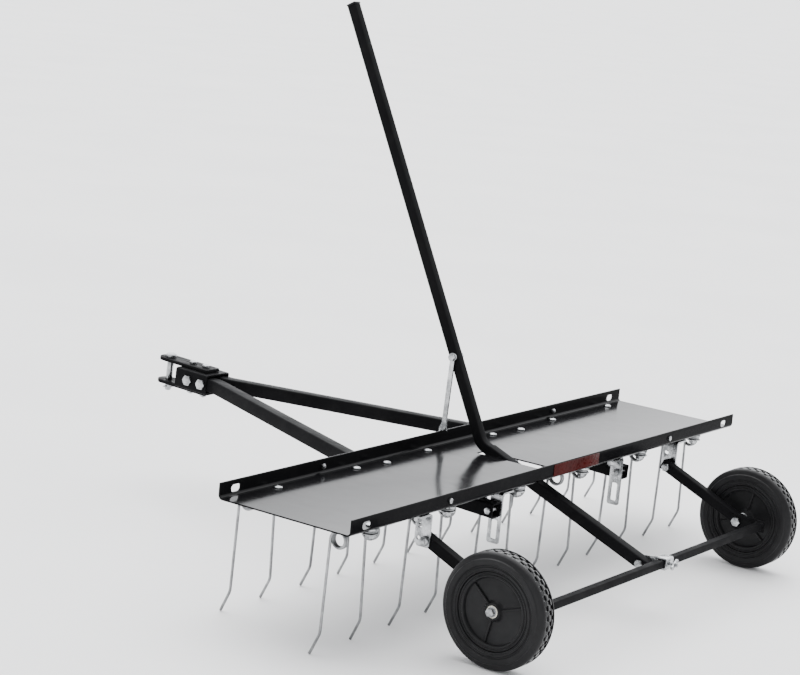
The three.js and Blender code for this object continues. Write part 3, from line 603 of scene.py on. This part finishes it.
DECK_PAINT = paint("deck_paint", BLACK, 0.14, 0.07)
LIP_PAINT = paint("lip_paint", BLACK, 0.20, 0.015)
PAINT = paint("tube_paint", TUBE_BLACK, 0.40, 0.014)
ZINC = plated("zinc_plate", (0.17, 0.175, 0.18), (0.60, 0.61, 0.62), 0.26)
SPRING = plated("spring_wire", (0.15, 0.153, 0.157), (0.38, 0.385, 0.39), 0.34)
RUBBER = moulded("tyre_rubber", RUBBER_BLACK, 0.46, 0.00009, 0.20)
TREAD = moulded("tread_rubber", RUBBER_BLACK, 0.24, 0.00004, 0.38)
PLASTIC = moulded("moulded_plastic", (0.006, 0.006, 0.0065), 0.40, 0.00005, 0.18)
NYLON = moulded("nylon", (0.62, 0.60, 0.52), 0.45, 0.00003)
FILM = red_film()


# ------------------------------------------------------------------ tray
LIP_HOLES = {"x": 567, "z": 12.5, "width": 22, "height": 12}
LIP_BOLT = (352, 14)  # x and z
DECK_HEAD = 7.2
DECK_HEAD_HEIGHT = 3.5
ROWS = (("rear", 17.3, -PITCH / 4), ("front", 230.7, PITCH / 4))
TINE_PLACES = [(f"{row}_{i + 1}", (2 * i - TINES_PER_ROW + 1) * PITCH + offset, y)
               for row, y, offset in ROWS for i in range(TINES_PER_ROW)]


def build_tray():
    inner = FOLD - SHEET
    tip = SHEET / 2
    outline = [
        *arc((tip, LIP - tip), tip, 0, 180, 5),
        *arc((FOLD, FOLD), FOLD, 180, 270, 8),
        *arc((DEPTH - FOLD, FOLD), FOLD, 270, 360, 8),
        *arc((DEPTH - tip, LIP - tip), tip, 0, 180, 5),
        *arc((DEPTH - FOLD, FOLD), inner, 360, 270, 6),
        *arc((FOLD, FOLD), inner, 270, 180, 6),
    ]
    sheet = moved(extruded(outline, -WIDTH / 2, WIDTH / 2), STANDING)
    x0, x1, y0, y1 = SLOT
    holes = [extruded(rounded((x0, y0), (x1, y1), 4), -5, 9)]
    stretch = (-5, DEPTH + 5)  # a cutter's ends, past both lips
    for _, sign in SIDES:
        x, z = sign * LIP_HOLES["x"], LIP_HOLES["z"]
        w, h = LIP_HOLES["width"] / 2, LIP_HOLES["height"] / 2
        oblong = extruded(rounded((x - w, -z - h), (x + w, -z + h), h - 0.2, 8), *stretch)
        holes.append(moved(oblong, ALONG_Y))
        holes.append(drill(3.3, *stretch, at(sign * LIP_BOLT[0], 0, LIP_BOLT[1]) @ ALONG_Y))
    tray = finish("tray_sheet", carved(sheet, holes), DECK_PAINT, "tray", "tray")
    tray.data.materials.append(LIP_PAINT)
    for polygon in tray.data.polygons:
        polygon.material_index = int(abs(polygon.normal.z) < 0.3)


def build_film():
    low, high = (FROM_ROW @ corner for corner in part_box("rear_film"))
    shape = plate(rounded((low.x, low.z), (high.x, high.z), 2.5), (), high.y - low.y, 0.15)
    finish("rear_lip_film", moved(shape, at(0, high.y, 0) @ ALONG_MINUS_Y), FILM, "tray",
           "rear_film")


def build_lip_bolts():
    face = SHEET / 2 + GAP
    shape = hex_bolt(2.8, 8.3, face, -face, 2.8, 4, 2)
    for side, sign in SIDES:
        for end, y, turn in (("rear", SHEET / 2, ALONG_MINUS_Y),
                             ("front", DEPTH - SHEET / 2, ALONG_Y)):
            place = at(sign * LIP_BOLT[0], y, LIP_BOLT[1]) @ turn
            name = f"lip_bolt_{end}_{side}"
            finish(name + "_zinc", moved(shape, place), ZINC, "tray", name)


def deck_bolt(end, across, nut, tail, washers, shaft_end=None):
    """A carriage bolt with its head on the deck and its nut below end.

    Each washer is (radius, low, high). The plain shaft runs down to the nut unless told otherwise.
    """
    seat = SHEET + GAP
    shaft = shaft_end or end
    return joined(
        dome(DECK_HEAD, seat, DECK_HEAD_HEIGHT),
        lathe([(0, shaft), (SHANK, shaft), (SHANK, seat), (0, seat)], 24),
        *(washer(SHANK, *sizes) for sizes in washers),
        hexagon(across, end - nut, end, (True, False)),
        threaded(SHANK, end - nut - tail, end - nut),
    )


def bracket_stud(x, y):
    """The bolt that holds a bracket under the deck."""
    return moved(deck_bolt(-5.5, 11.5, 6, 2.5, [(8.2, -5.5, -3.9)]), at(x, y, 0))


# ------------------------------------------------------------------ tines
def tine_half(sign, tip_x, tip_y):
    """One half of a double tine, from behind its bolt to the tip of its prong."""
    level = COIL_Z + COIL_RADIUS
    inner = COIL_OUTER - COIL_STEP * COIL_TURNS
    points = [Vector((*p, level)) for p in arc((0, 0), BOLT_LOOP, -90, 10, 8)]
    leave = points[-1]
    reach = Vector((inner, COIL_Y, level))
    leave_handle = leave + Vector((1.5, 8, 0))
    reach_handle = reach - Vector((1.5, 11, 0))
    for i in range(1, 8):
        t = i / 8
        points.append((1 - t) ** 3 * leave + 3 * (1 - t) ** 2 * t * leave_handle
                      + 3 * (1 - t) * t * t * reach_handle + t ** 3 * reach)
    steps = int(COIL_TURNS * 20)
    for i in range(steps + 1):
        angle = math.pi / 2 - 2 * math.pi * COIL_TURNS * i / steps
        points.append(Vector((inner + (COIL_OUTER - inner) * i / steps,
                              COIL_Y + COIL_RADIUS * math.cos(angle),
                              COIL_Z + COIL_RADIUS * math.sin(angle))))
    front = COIL_Y + COIL_RADIUS
    prong = bent([points[-1], (PITCH / 2 - 0.6 + tip_x / 2, front + tip_y / 2, PRONG_KNEE_Z),
                  (PITCH / 2 + tip_x, PRONG_TIP[0] + tip_y, PRONG_TIP[1])], 26, 7)
    points += [points[-1].lerp(prong[1], 0.5)] + prong[1:]
    return [Vector((sign * p.x, p.y, p.z)) for p in points]


def build_tines():
    chance = random.Random(7)
    level = COIL_Z + COIL_RADIUS
    wire_top, wire_low = level + WIRE + 0.1, level - WIRE - 0.1
    nut_top = wire_low - 1.8
    washers = [(13, wire_top, -GAP), (13, nut_top, wire_low)]
    fixing = deck_bolt(nut_top, 12.5, 6.3, 3.2, washers, shaft_end=-17)
    for name, x, y in TINE_PLACES:
        drift = [(chance.uniform(-1.2, 0.6), chance.uniform(-1.5, 1.2)) for _ in SIDES]
        left, right = (tine_half(sign, *drift[i]) for i, (_, sign) in enumerate(SIDES))
        shape = wire(left[::-1] + right[1:], WIRE)
        finish(f"tine_wire_{name}", moved(shape, at(x, y, 0)), SPRING, "tray",
               f"double_tine_{name}", smooth=60)
        finish(f"tine_bolt_{name}", moved(fixing, at(x, y, 0)), ZINC, "tray")


# ------------------------------------------------------------------ brackets under the deck
def build_wheel_brackets():
    inner = ARM_OUTER + GAP
    outer = inner + BRACKET
    for side, sign in SIDES:
        cheek = [(2, -6), *arc((8, -49), 6, 180, 270, 5), (24, -55), (30, -49), (30, -6)]
        holes = [circle(PIVOT.y, PIVOT.z, 6.3), circle(22, -22, 4), circle(23, -42, 3)]
        wall = moved(plate(cheek, holes, BRACKET, 0.4), at(inner, 0, 0) @ STANDING)
        fold = [(inner, -6), *arc((inner + 5.7, -6), 5.7, 180, 90, 6), (inner + 33, -0.3),
                (inner + 33, -3.3), *arc((inner + 5.7, -6), 2.7, 90, 180, 4), (outer, -6)]
        flange = moved(extruded(fold, -30, -2), ALONG_MINUS_Y)
        shape = joined(wall, flange, bracket_stud(411, 16))
        if sign < 0:
            shape = moved(shape, MIRRORED)
        name = f"wheel_bracket_{side}"
        finish(name + "_zinc", shape, ZINC, "tray", name)
        bolt = hex_bolt(5.6, 13, -ARM_INNER + GAP, -outer - GAP, 5.5, 7, 3)
        place = at(0, PIVOT.y, PIVOT.z) @ INWARDS[sign]
        name = f"arm_pivot_bolt_{side}"
        finish(name + "_zinc", moved(bolt, place), ZINC, "tray", name)


def build_tongue_brackets():
    outer = TONGUE_X - TONGUE_SIDE / 2 - GAP
    inner = outer - BRACKET
    bolt_z = TONGUE_REAR_Z + TONGUE_REAR_BOLT_Y * TONGUE_SLOPE
    for side, sign in SIDES:
        outline = [(2, -6), *arc((6, -81), 4, 180, 270, 5), *arc((21, -81), 4, 270, 360, 5),
                   (25, -6)]
        window = rounded((8, -78), (19, -46), 3)
        holes = [window, circle(TONGUE_REAR_BOLT_Y, bolt_z, 4.4)]
        wall = moved(plate(outline, holes, BRACKET, 0.4), at(inner, 0, 0) @ STANDING)
        fold = [(outer, -6), *arc((outer - 5.7, -6), 5.7, 0, 90, 6), (outer - 32, -0.3),
                (outer - 32, -3.3), *arc((outer - 5.7, -6), 2.7, 90, 0, 4), (inner, -6)]
        flange = moved(extruded(fold, -25, -2), ALONG_MINUS_Y)
        shape = joined(wall, flange, bracket_stud(176, 17))
        if sign < 0:
            shape = moved(shape, MIRRORED)
        name = f"tongue_bracket_{side}"
        finish(name + "_zinc", shape, ZINC, "tray", name)


# ------------------------------------------------------------------ tongue and hitch
def build_tongue():
    (rear, tip), (bend_rear, bend_front) = TONGUE_ENDS, TONGUE_BENDS
    inboard = TONGUE_SIDE / 2 + BRACKET + 2 * GAP
    rear_bolt = hex_bolt(SHANK, 10, TONGUE_SIDE / 2 + GAP, -inboard, 3.5, 6, 2)
    top = TONGUE_REAR_Z + TONGUE_FRONT_BOLT_Y * TONGUE_SLOPE + TONGUE_SIDE / 2
    under = top - TONGUE_SIDE - 0.8
    front_bolt = deck_bolt(under, 12.5, 6, 3, [(8.5, top + 0.8, -GAP)])
    for side, sign in SIDES:
        path = bent([(sign * TONGUE_X, rear, 0), (sign * TONGUE_X, bend_rear, 0),
                     (sign * TONGUE_TIP_X, bend_front, 0), (sign * TONGUE_TIP_X, tip, 0)], 45)
        shape = square_tube(path, (0, 0, 1), TONGUE_SIDE, 1.8, 3)
        name = f"tongue_tube_{side}"
        finish(name + "_paint", moved(shape, TONGUE), PAINT, "tray", name)
        place = TONGUE @ at(sign * TONGUE_X, TONGUE_REAR_BOLT_Y, 0) @ OUTWARDS[sign]
        name = f"tongue_rear_bolt_{side}"
        finish(name + "_zinc", moved(rear_bolt, place), ZINC, "tray", name)
        place = at(sign * TONGUE_X, TONGUE_FRONT_BOLT_Y, 0)
        name = f"tongue_front_bolt_{side}"
        finish(name + "_zinc", moved(front_bolt, place), ZINC, "tray", name)


def build_hitch():
    w, h = HITCH_WIDTH / 2, HITCH_HEIGHT / 2
    rear, front = HITCH_ENDS
    outer = rounded((-w, -h), (w, h), 4)
    inner = rounded((HITCH_WALL - w, HITCH_WALL - h), (w - HITCH_WALL, h - HITCH_WALL), 1.5)
    rings = [[Vector((x, y, z)) for x, z in outline] for outline, y in
             ((inner, front), (outer, front), (outer, rear), (inner, rear))]
    finish("hitch_block_paint", moved(loft(rings, loop=True), TONGUE), PAINT, "tray",
           "hitch_block")
    outline = [(-STRAP_HALF, 774), (2 - STRAP_HALF, 772), (STRAP_HALF - 2, 772), (STRAP_HALF, 774),
               *arc((0, 878), STRAP_HALF, 0, 180, 20)]
    holes = [circle(0, y, 4.4) for y in HITCH_STRAP_BOLTS] + [circle(0, PIN_Y, 6.8)]
    strap = plate(outline, holes, STRAP[1] - STRAP[0], 0.7)
    for side, low in (("upper", STRAP[0]), ("lower", -STRAP[1])):
        name = f"hitch_strap_{side}"
        finish(name + "_paint", moved(strap, TONGUE @ at(0, 0, low)), PAINT, "tray",
               name)
    for i, y in enumerate(HITCH_SIDE_BOLTS):
        bolt = hex_bolt(SHANK, 17.5, w + GAP, -w - GAP, 5, 6, 3)
        place = TONGUE @ at(0, y, 0) @ ALONG_MINUS_X
        name = f"hitch_side_bolt_{i + 1}"
        finish(name + "_zinc", moved(bolt, place), ZINC, "tray", name)
    for i, y in enumerate(HITCH_STRAP_BOLTS):
        bolt = hex_bolt(SHANK, 12.5, STRAP[1] + GAP, -STRAP[1] - GAP, 4.5, 6, 2)
        name = f"hitch_strap_bolt_{i + 1}"
        finish(name + "_zinc", moved(bolt, TONGUE @ at(0, y, 0)), ZINC, "tray", name)


def build_hitch_pin():
    head, end = STRAP[1] + GAP, -STRAP[1] - 15
    profile = [(0, end), (3.6, end), (4.6, end + 0.5), (6.2, end + 3), (6.2, head), (9.6, head),
               (10, head + 0.4), (10, head + 4.6), (9.2, head + 5.6), (7.5, head + 6.5),
               (0, head + 6.5)]
    hole = drill(1.9, -20, 20, at(0, 0, CLIP_Z) @ ALONG_X)
    pin = carved(lathe(profile, 48), [hole])
    finish("hitch_pin_zinc", moved(pin, TONGUE @ at(0, PIN_Y, 0)), ZINC, "hitch_pin",
           "hitch_pin")
    turn = [(x, y, 0) for x, y in arc((24, -5.4), 5.4, 90, -90, 12)]
    hump = [(14, -10.2, 0), (8, -8.9, 0), (3, -8.7, 0), (-2, -9.4, 0), (-7, -11.4, 0),
            (-9, -12.4, 0)]
    clip = wire([(-14, 0, 0), (0, 0, 0), *turn, *hump], 1.2)
    finish("hitch_clip_zinc", moved(clip, TONGUE @ at(0, PIN_Y, CLIP_Z)), ZINC, "hitch_clip",
           "hitch_clip")


# ------------------------------------------------------------------ wheel frame
def bead(start, end, radius, seed):
    """A lumpy weld bead between two points."""
    chance = random.Random(seed)
    start, end = Vector(start), Vector(end)
    steps = max(int((end - start).length / 1.4), 3)
    rings = []
    line = (end - start).normalized()
    normal = line.orthogonal().normalized()
    side = line.cross(normal)
    angles = [math.pi * k / 4 for k in range(8)]
    for i in range(steps + 1):
        size = radius * (0.85 + 0.3 * chance.random()) * (1.0 if 0 < i < steps else 0.55)
        centre = start.lerp(end, i / steps)
        rings.append([centre + (normal * math.cos(a) + side * math.sin(a)) * size for a in angles])
    return loft(rings)


def build_arms():
    slope = math.atan2(PIVOT.z - AXLE.z, PIVOT.y - AXLE.y)
    along = Vector((0, math.cos(slope), math.sin(slope)))
    for side, sign in SIDES:
        x = Vector((sign * ARM_X, 0, 0))
        ends = [Vector((0, AXLE.y, AXLE.z)) - along * 16 + x,
                Vector((0, PIVOT.y, PIVOT.z)) + along * 11 + x]
        shape = square_tube(ends, (1, 0, 0), ARM_SIDE, 1.8, 2.4)
        bores = [drill(6.2, ARM_X - 20, ARM_X + 20, at(0, p.y, p.z) @ OUTWARDS[sign])
                 for p in (PIVOT, AXLE)]
        name = f"wheel_arm_{side}"
        finish(name + "_paint", carved(shape, bores), PAINT, "lift_frame", name)


def build_crossbar():
    half = CROSSBAR_SIDE / 2
    bar = square_tube([(-LUG[0], CROSSBAR_Y, CROSSBAR_Z), (LUG[0], CROSSBAR_Y, CROSSBAR_Z)],
                      (0, 0, 1), CROSSBAR_SIDE, half - 0.6, 1.8)
    lug = [(CROSSBAR_Y - half - 3, CROSSBAR_Z - half - 3), *arc((AXLE.y, AXLE.z), 14, -90, 90, 14),
           (CROSSBAR_Y - half - 3, CROSSBAR_Z + half + 3)]
    shapes = [bar]
    for _, sign in SIDES:
        low = LUG[0] if sign > 0 else -LUG[1]
        ear = plate(lug, [circle(AXLE.y, AXLE.z, 6.2)], LUG_SHEET, 0.5)
        shapes.append(moved(ear, at(low, 0, 0) @ STANDING))
        x = sign * (LUG[0] - 0.3)
        corners = [(x, CROSSBAR_Y + a * half, CROSSBAR_Z + b * half)
                   for a, b in ((-1, -1), (1, -1), (1, 1), (-1, 1))]
        shapes += [bead(corners[i], corners[(i + 1) % 4], 1.5, i) for i in range(4)]
    finish("crossbar_paint", joined(*shapes), PAINT, "lift_frame", "crossbar")


def build_clamp():
    y, z = CROSSBAR_Y, CROSSBAR_Z
    inner = CROSSBAR_SIDE / 2 + 0.35
    outer = inner + 3.2
    x0 = LEVER_SIDE / 2 + GAP
    screw_x = x0 + 13
    bore = rounded((y - inner, z - inner), (y + inner, z + inner), 1)
    band = plate(rounded((y - outer, z - outer), (y + outer, z + outer), 3), [bore], 24, 0.4)
    bolt = on_lever(CLAMP_Y)
    back = y + outer - 1.5
    ear = plate([(back, z + outer), (back, z - outer), *arc((bolt.y, bolt.z), 11, -80, 80, 12)],
                [circle(bolt.y, bolt.z, 4)], BRACKET, 0.4)
    screw = moved(threaded(3.2, 0, 16), at(screw_x, y - outer - 14, z) @ ALONG_Y)
    wing = [*arc((-8, 0), 3.6, 60, 300, 10), *arc((0, 0), 4, 240, 300, 4),
            *arc((8, 0), 3.6, -120, 120, 10), *arc((0, 0), 4, 60, 120, 4)]
    tilted = ALONG_MINUS_Y @ Matrix.Rotation(math.radians(35), 4, "Z")
    wings = moved(plate(wing, (), 4, 0.8), at(screw_x, y - outer - 6, z) @ tilted)
    shape = joined(moved(band, at(x0, 0, 0) @ STANDING), moved(ear, at(x0, 0, 0) @ STANDING),
                   screw, wings)
    finish("crossbar_clamp_zinc", shape, ZINC, "lift_frame", "crossbar_clamp")
    side = LEVER_SIDE / 2
    shape = hex_bolt(SHANK, 12.5, side + GAP, -side - 2 * GAP - BRACKET, 4.5, 6, 3)
    finish("clamp_bolt_zinc", moved(shape, at(0, bolt.y, bolt.z) @ ALONG_MINUS_X), ZINC,
           "lift_frame", "clamp_bolt")


def build_lever():
    shape = square_tube([on_lever(LEVER_END_Y), on_lever(LEVER_TOP_Y)], (1, 0, 0), LEVER_SIDE,
                        LEVER_WALL, 2.4)
    bores = [drill(4.1, -20, 20, at(0, *on_lever(y).yz) @ ALONG_X)
             for y in (CLAMP_Y, HANDLE_BOLT_Y)]
    finish("lift_lever_paint", carved(shape, bores), PAINT, "lift_frame",
           "lift_lever")
    path = bent([on_lever(ELBOW_Y - 70), on_lever(ELBOW_Y), HANDLE_TOP], 34, 12)
    tube = square_tube(path, (1, 0, 0), HANDLE_SIDE, 1.5, 2.2)
    bores = [drill(4.1, -20, 20, at(0, p.y, p.z) @ ALONG_X)
             for p in (on_lever(HANDLE_BOLT_Y), STAY_BOLT)]
    finish("handle_tube_paint", carved(tube, bores), PAINT, "lift_frame",
           "handle_tube")
    face = LEVER_SIDE / 2 + GAP
    bolt = joined(
        dome(6, face, 2.4),
        lathe([(0, -face), (SHANK, -face), (SHANK, face), (0, face)], 28),
        hexagon(10.4, -face - 3, -face, (True, False)),
    )
    place = at(0, *on_lever(HANDLE_BOLT_Y).yz) @ ALONG_MINUS_X
    finish("handle_bolt_black", moved(bolt, place), PAINT, "lift_frame",
           "handle_bolt")
    lean = (HANDLE_TOP - on_lever(ELBOW_Y)).normalized()
    turn = Matrix.Rotation(math.atan2(lean.z, lean.y) - math.pi / 2, 4, "X")
    cap = soft_block((-9.2, -9.2, GAP), (9.2, 9.2, 3.5), 1.4)
    plug = soft_block((-6.7, -6.7, -14), (6.7, 6.7, GAP + 1), 0.6)
    finish("handle_cap_plastic", moved(joined(cap, plug), at(*HANDLE_TOP) @ turn), PLASTIC,
           "lift_frame", "handle_cap")


def build_stay():
    y, z = STAY_BOLT.yz
    foot = LIP + 0.4
    lip = DEPTH - SHEET / 2
    outline = [(lip - 8, foot), (DEPTH + 2.8, foot), (DEPTH + 2.8, LIP - 8), (DEPTH + 6, LIP - 8),
               (DEPTH + 6, foot + 3), (lip + 3, foot + 14), (y + 4.5, z - 6),
               *arc((y, z), 7.5, -23, 203, 16), (y - 4.5, z - 6), (lip - 6, foot + 14)]
    left = -HANDLE_SIDE / 2 - 0.4 - BRACKET
    shape = moved(plate(outline, [circle(y, z, 4.2)], BRACKET, 0.4), at(left, 0, 0) @ STANDING)
    finish("lift_stay_zinc", shape, ZINC, "stay", "lift_stay")
    bolt = hex_bolt(SHANK, 11.5, -left + GAP, -HANDLE_SIDE / 2 - GAP, 4, 5, 2)
    finish("stay_bolt_zinc", moved(bolt, at(0, y, z) @ ALONG_MINUS_X), ZINC, "lift_frame",
           "stay_bolt")


# ------------------------------------------------------------------ wheels
def tyre_shape():
    """A solid tyre's body: ringed sidewalls and round shoulders, its tread face left low."""
    top, half = WHEEL_RADIUS, TYRE_HALF
    rings = ((GAP, 5), (1.2, 3.4), (3, 3.2), (4, 1.6), (6.5, 1.2), (7.6, 2.6), (9.5, 2.6),
             (11, 0.7), (15, 0), (19, 0.5), (20.4, 2.2))
    side = [(RIM_RADIUS + out, -half + sunk) for out, sunk in rings]
    shoulder = arc((top - 8, -half + 10.5), 8, -58, -6, 6)
    profile = side + shoulder + [(top - 2.4, -12.2)]
    return lathe(profile + [(r, -h) for r, h in profile[::-1]], 160)


def tread_shape():
    """The tread: three ribs round the tyre, the outer two sloping down, cut across by grooves."""
    top = WHEEL_RADIUS
    profile = [(top - 3, -12.6), (top - 1.4, -12.6)]
    for low, high, down in ((-12.4, -5.0, (0.9, 0)), (-3.2, 3.2, (0, 0)), (5.0, 12.4, (0, 0.9))):
        profile += [(top - 0.4 - down[0], low + 0.2), (top - down[0], low + 1.0),
                    (top - down[1], high - 1.0), (top - 0.4 - down[1], high - 0.2),
                    (top - 2.4, high), (top - 2.4, high + 1.6)]
    profile = profile[:-2] + [(top - 1.4, 12.6), (top - 3, 12.6)]
    steps, notches = 288, 36
    notch_depth, notch_share = 1.5, 0.26
    notched = top - 1.35  # the ribs' outer faces lie above this radius
    rings = []
    for i in range(steps):
        angle = 2 * math.pi * i / steps
        phase = i * notches / steps
        ring = []
        for r, h in profile:
            lane = 0.5 * (abs(h) > 4)
            cut = notch_depth if r > notched and (phase + lane) % 1 < notch_share else 0
            ring.append(Vector(((r - cut) * math.cos(angle), (r - cut) * math.sin(angle), h)))
        rings.append(ring)
    return loft(rings, loop=True)


def rim_shape():
    """The moulded disc: a ring, a dished web with three ribs, and a hub boss on both faces."""
    web = 9.5
    ring = ((0, 15), (0.8, 16.2), (2.5, 16.5), (3.4, 15.4), (4.6, 15.4), (5.4, 16.5), (7.6, 16.4),
            (8.7, 15.2), (9.8, web + 1), (11.4, web))
    outer = [(RIM_RADIUS - inwards, height) for inwards, height in ring]
    outer += [(22, web - 0.6), (17, web + 0.2), (HUB_RADIUS + 0.8, 13),
              (HUB_RADIUS, HUB_HALF - 0.8), (HUB_RADIUS - 0.8, HUB_HALF),
              (BUSH[1] + GAP, HUB_HALF)]
    disc = lathe(outer + [(r, -h) for r, h in outer[::-1]], 128)
    shapes = [disc]
    rib = soft_block((HUB_RADIUS - 1.5, -1.5, web - 3), (RIM_RADIUS - 9.5, 1.5, web + 3.2), 0.9)
    for side in (Matrix.Identity(4), UPSIDE_DOWN):
        for i in range(3):
            spin = Matrix.Rotation(math.radians(120 * i + 48), 4, "Z")
            shapes.append(moved(rib, side @ spin))
    return joined(*shapes)


def build_wheels():
    tyre, tread, rim = tyre_shape(), tread_shape(), rim_shape()
    low, high = BUSH
    end = HUB_HALF - 0.2
    bush = lathe([(low, -end), (high - 0.4, -end), (high, 0.4 - end), (high, end - 0.4),
                  (high - 0.4, end), (low, end)], 48)
    hub_in, hub_out, nut_top = WHEEL_X - HUB_HALF, WHEEL_X + HUB_HALF, LUG[0] - GAP
    axle = joined(
        lathe([(0, nut_top - 7), (AXLE_RADIUS, nut_top - 7), (AXLE_RADIUS, hub_out + 1),
               (0, hub_out + 1)], 32),
        threaded(AXLE_RADIUS, nut_top - 8.5, nut_top - 7),
        hexagon(14.5, nut_top - 7, nut_top),
        washer(AXLE_RADIUS, 11, ARM_OUTER + GAP, hub_in - GAP),
        washer(AXLE_RADIUS, 8, hub_out + GAP, hub_out + 1.5),
        hexagon(12, hub_out + 1.5, hub_out + 7.5, (False, True)),
    )
    for side, sign in SIDES:
        place = at(sign * WHEEL_X, AXLE.y, AXLE.z) @ OUTWARDS[sign]
        body = f"wheel_{side}"
        finish(f"tyre_{side}_rubber", moved(tyre, place), RUBBER, body,
               f"tyre_{side}", smooth=32)
        finish(f"tyre_{side}_tread", moved(tread, place), TREAD, body, smooth=32)
        finish(f"wheel_rim_{side}_plastic", moved(rim, place), PLASTIC, body,
               f"wheel_rim_{side}", smooth=32)
        finish(f"wheel_bush_{side}_nylon", moved(bush, place), NYLON, body,
               f"wheel_bush_{side}")
        place = at(0, AXLE.y, AXLE.z) @ OUTWARDS[sign]
        finish(f"axle_bolt_{side}_zinc", moved(axle, place), ZINC, "lift_frame",
               f"axle_bolt_{side}")


# ------------------------------------------------------------------ studio
BRIGHT_SIDE = (0.81, 0.55, 0.2)  # ahead of the machine and to its right
CAMERA_PLACE = (-3.0439, -2.0475, 1.0532)
CAMERA_ANGLES = (34.29, -10.58, 5.5)  # azimuth, elevation and roll in degrees


def build_floor():
    mesh = bpy.data.meshes.new("floor")
    size = 250
    corners = [(x * size, y * size, 0) for x, y in ((-1, -1), (1, -1), (1, 1), (-1, 1))]
    mesh.from_pydata(corners, [], [(0, 1, 2, 3)])
    mesh.materials.append(floor_material())
    floor = bpy.data.objects.new("floor", mesh)
    bpy.context.scene.collection.objects.link(floor)


def build_light():
    """A pale surround, brighter ahead of the machine than behind it, and a soft light above."""
    world = bpy.data.worlds.new("studio")
    world.use_nodes = True
    tree = world.node_tree
    background = tree.nodes["Background"]
    background.inputs["Color"].default_value = (0.97, 0.98, 1.0, 1)
    way = tree.nodes.new("ShaderNodeVectorMath")
    way.operation = "DOT_PRODUCT"
    way.inputs[1].default_value = BRIGHT_SIDE
    tree.links.new(tree.nodes.new("ShaderNodeTexCoord").outputs["Generated"], way.inputs[0])
    strength = tree.nodes.new("ShaderNodeMapRange")
    for key, value in (("From Min", -0.2), ("From Max", 0.9), ("To Min", 1.1), ("To Max", 3.9)):
        strength.inputs[key].default_value = value
    tree.links.new(way.outputs["Value"], strength.inputs["Value"])
    tree.links.new(strength.outputs["Result"], background.inputs["Strength"])
    bpy.context.scene.world = world
    data = bpy.data.lights.new("soft_top", "SUN")
    data.energy = 3.0
    data.angle = math.radians(65)
    lamp = bpy.data.objects.new("soft_top", data)
    lamp.rotation_euler = (math.radians(-14), math.radians(10), 0)
    bpy.context.scene.collection.objects.link(lamp)


def build_camera():
    """The photograph's view: from behind on the left, looking down a little, slightly rolled."""
    data = bpy.data.cameras.new("camera")
    data.sensor_width = 36
    data.lens = 97.15
    camera = bpy.data.objects.new("camera", data)
    azimuth, elevation, roll = (math.radians(angle) for angle in CAMERA_ANGLES)
    look = Vector((math.cos(elevation) * math.cos(azimuth),
                   math.cos(elevation) * math.sin(azimuth), math.sin(elevation)))
    turn = look.to_track_quat("-Z", "Y").to_matrix().to_4x4()
    camera.matrix_world = at(*CAMERA_PLACE) @ turn @ Matrix.Rotation(roll, 4, "Z")
    bpy.context.scene.collection.objects.link(camera)
    bpy.context.scene.camera = camera


build_camera()
build_tray()
build_film()
build_lip_bolts()
build_tines()
build_wheel_brackets()
build_tongue_brackets()
build_tongue()
build_hitch()
build_hitch_pin()
build_arms()
build_crossbar()
build_clamp()
build_lever()
build_stay()
build_wheels()
build_floor()
build_light()
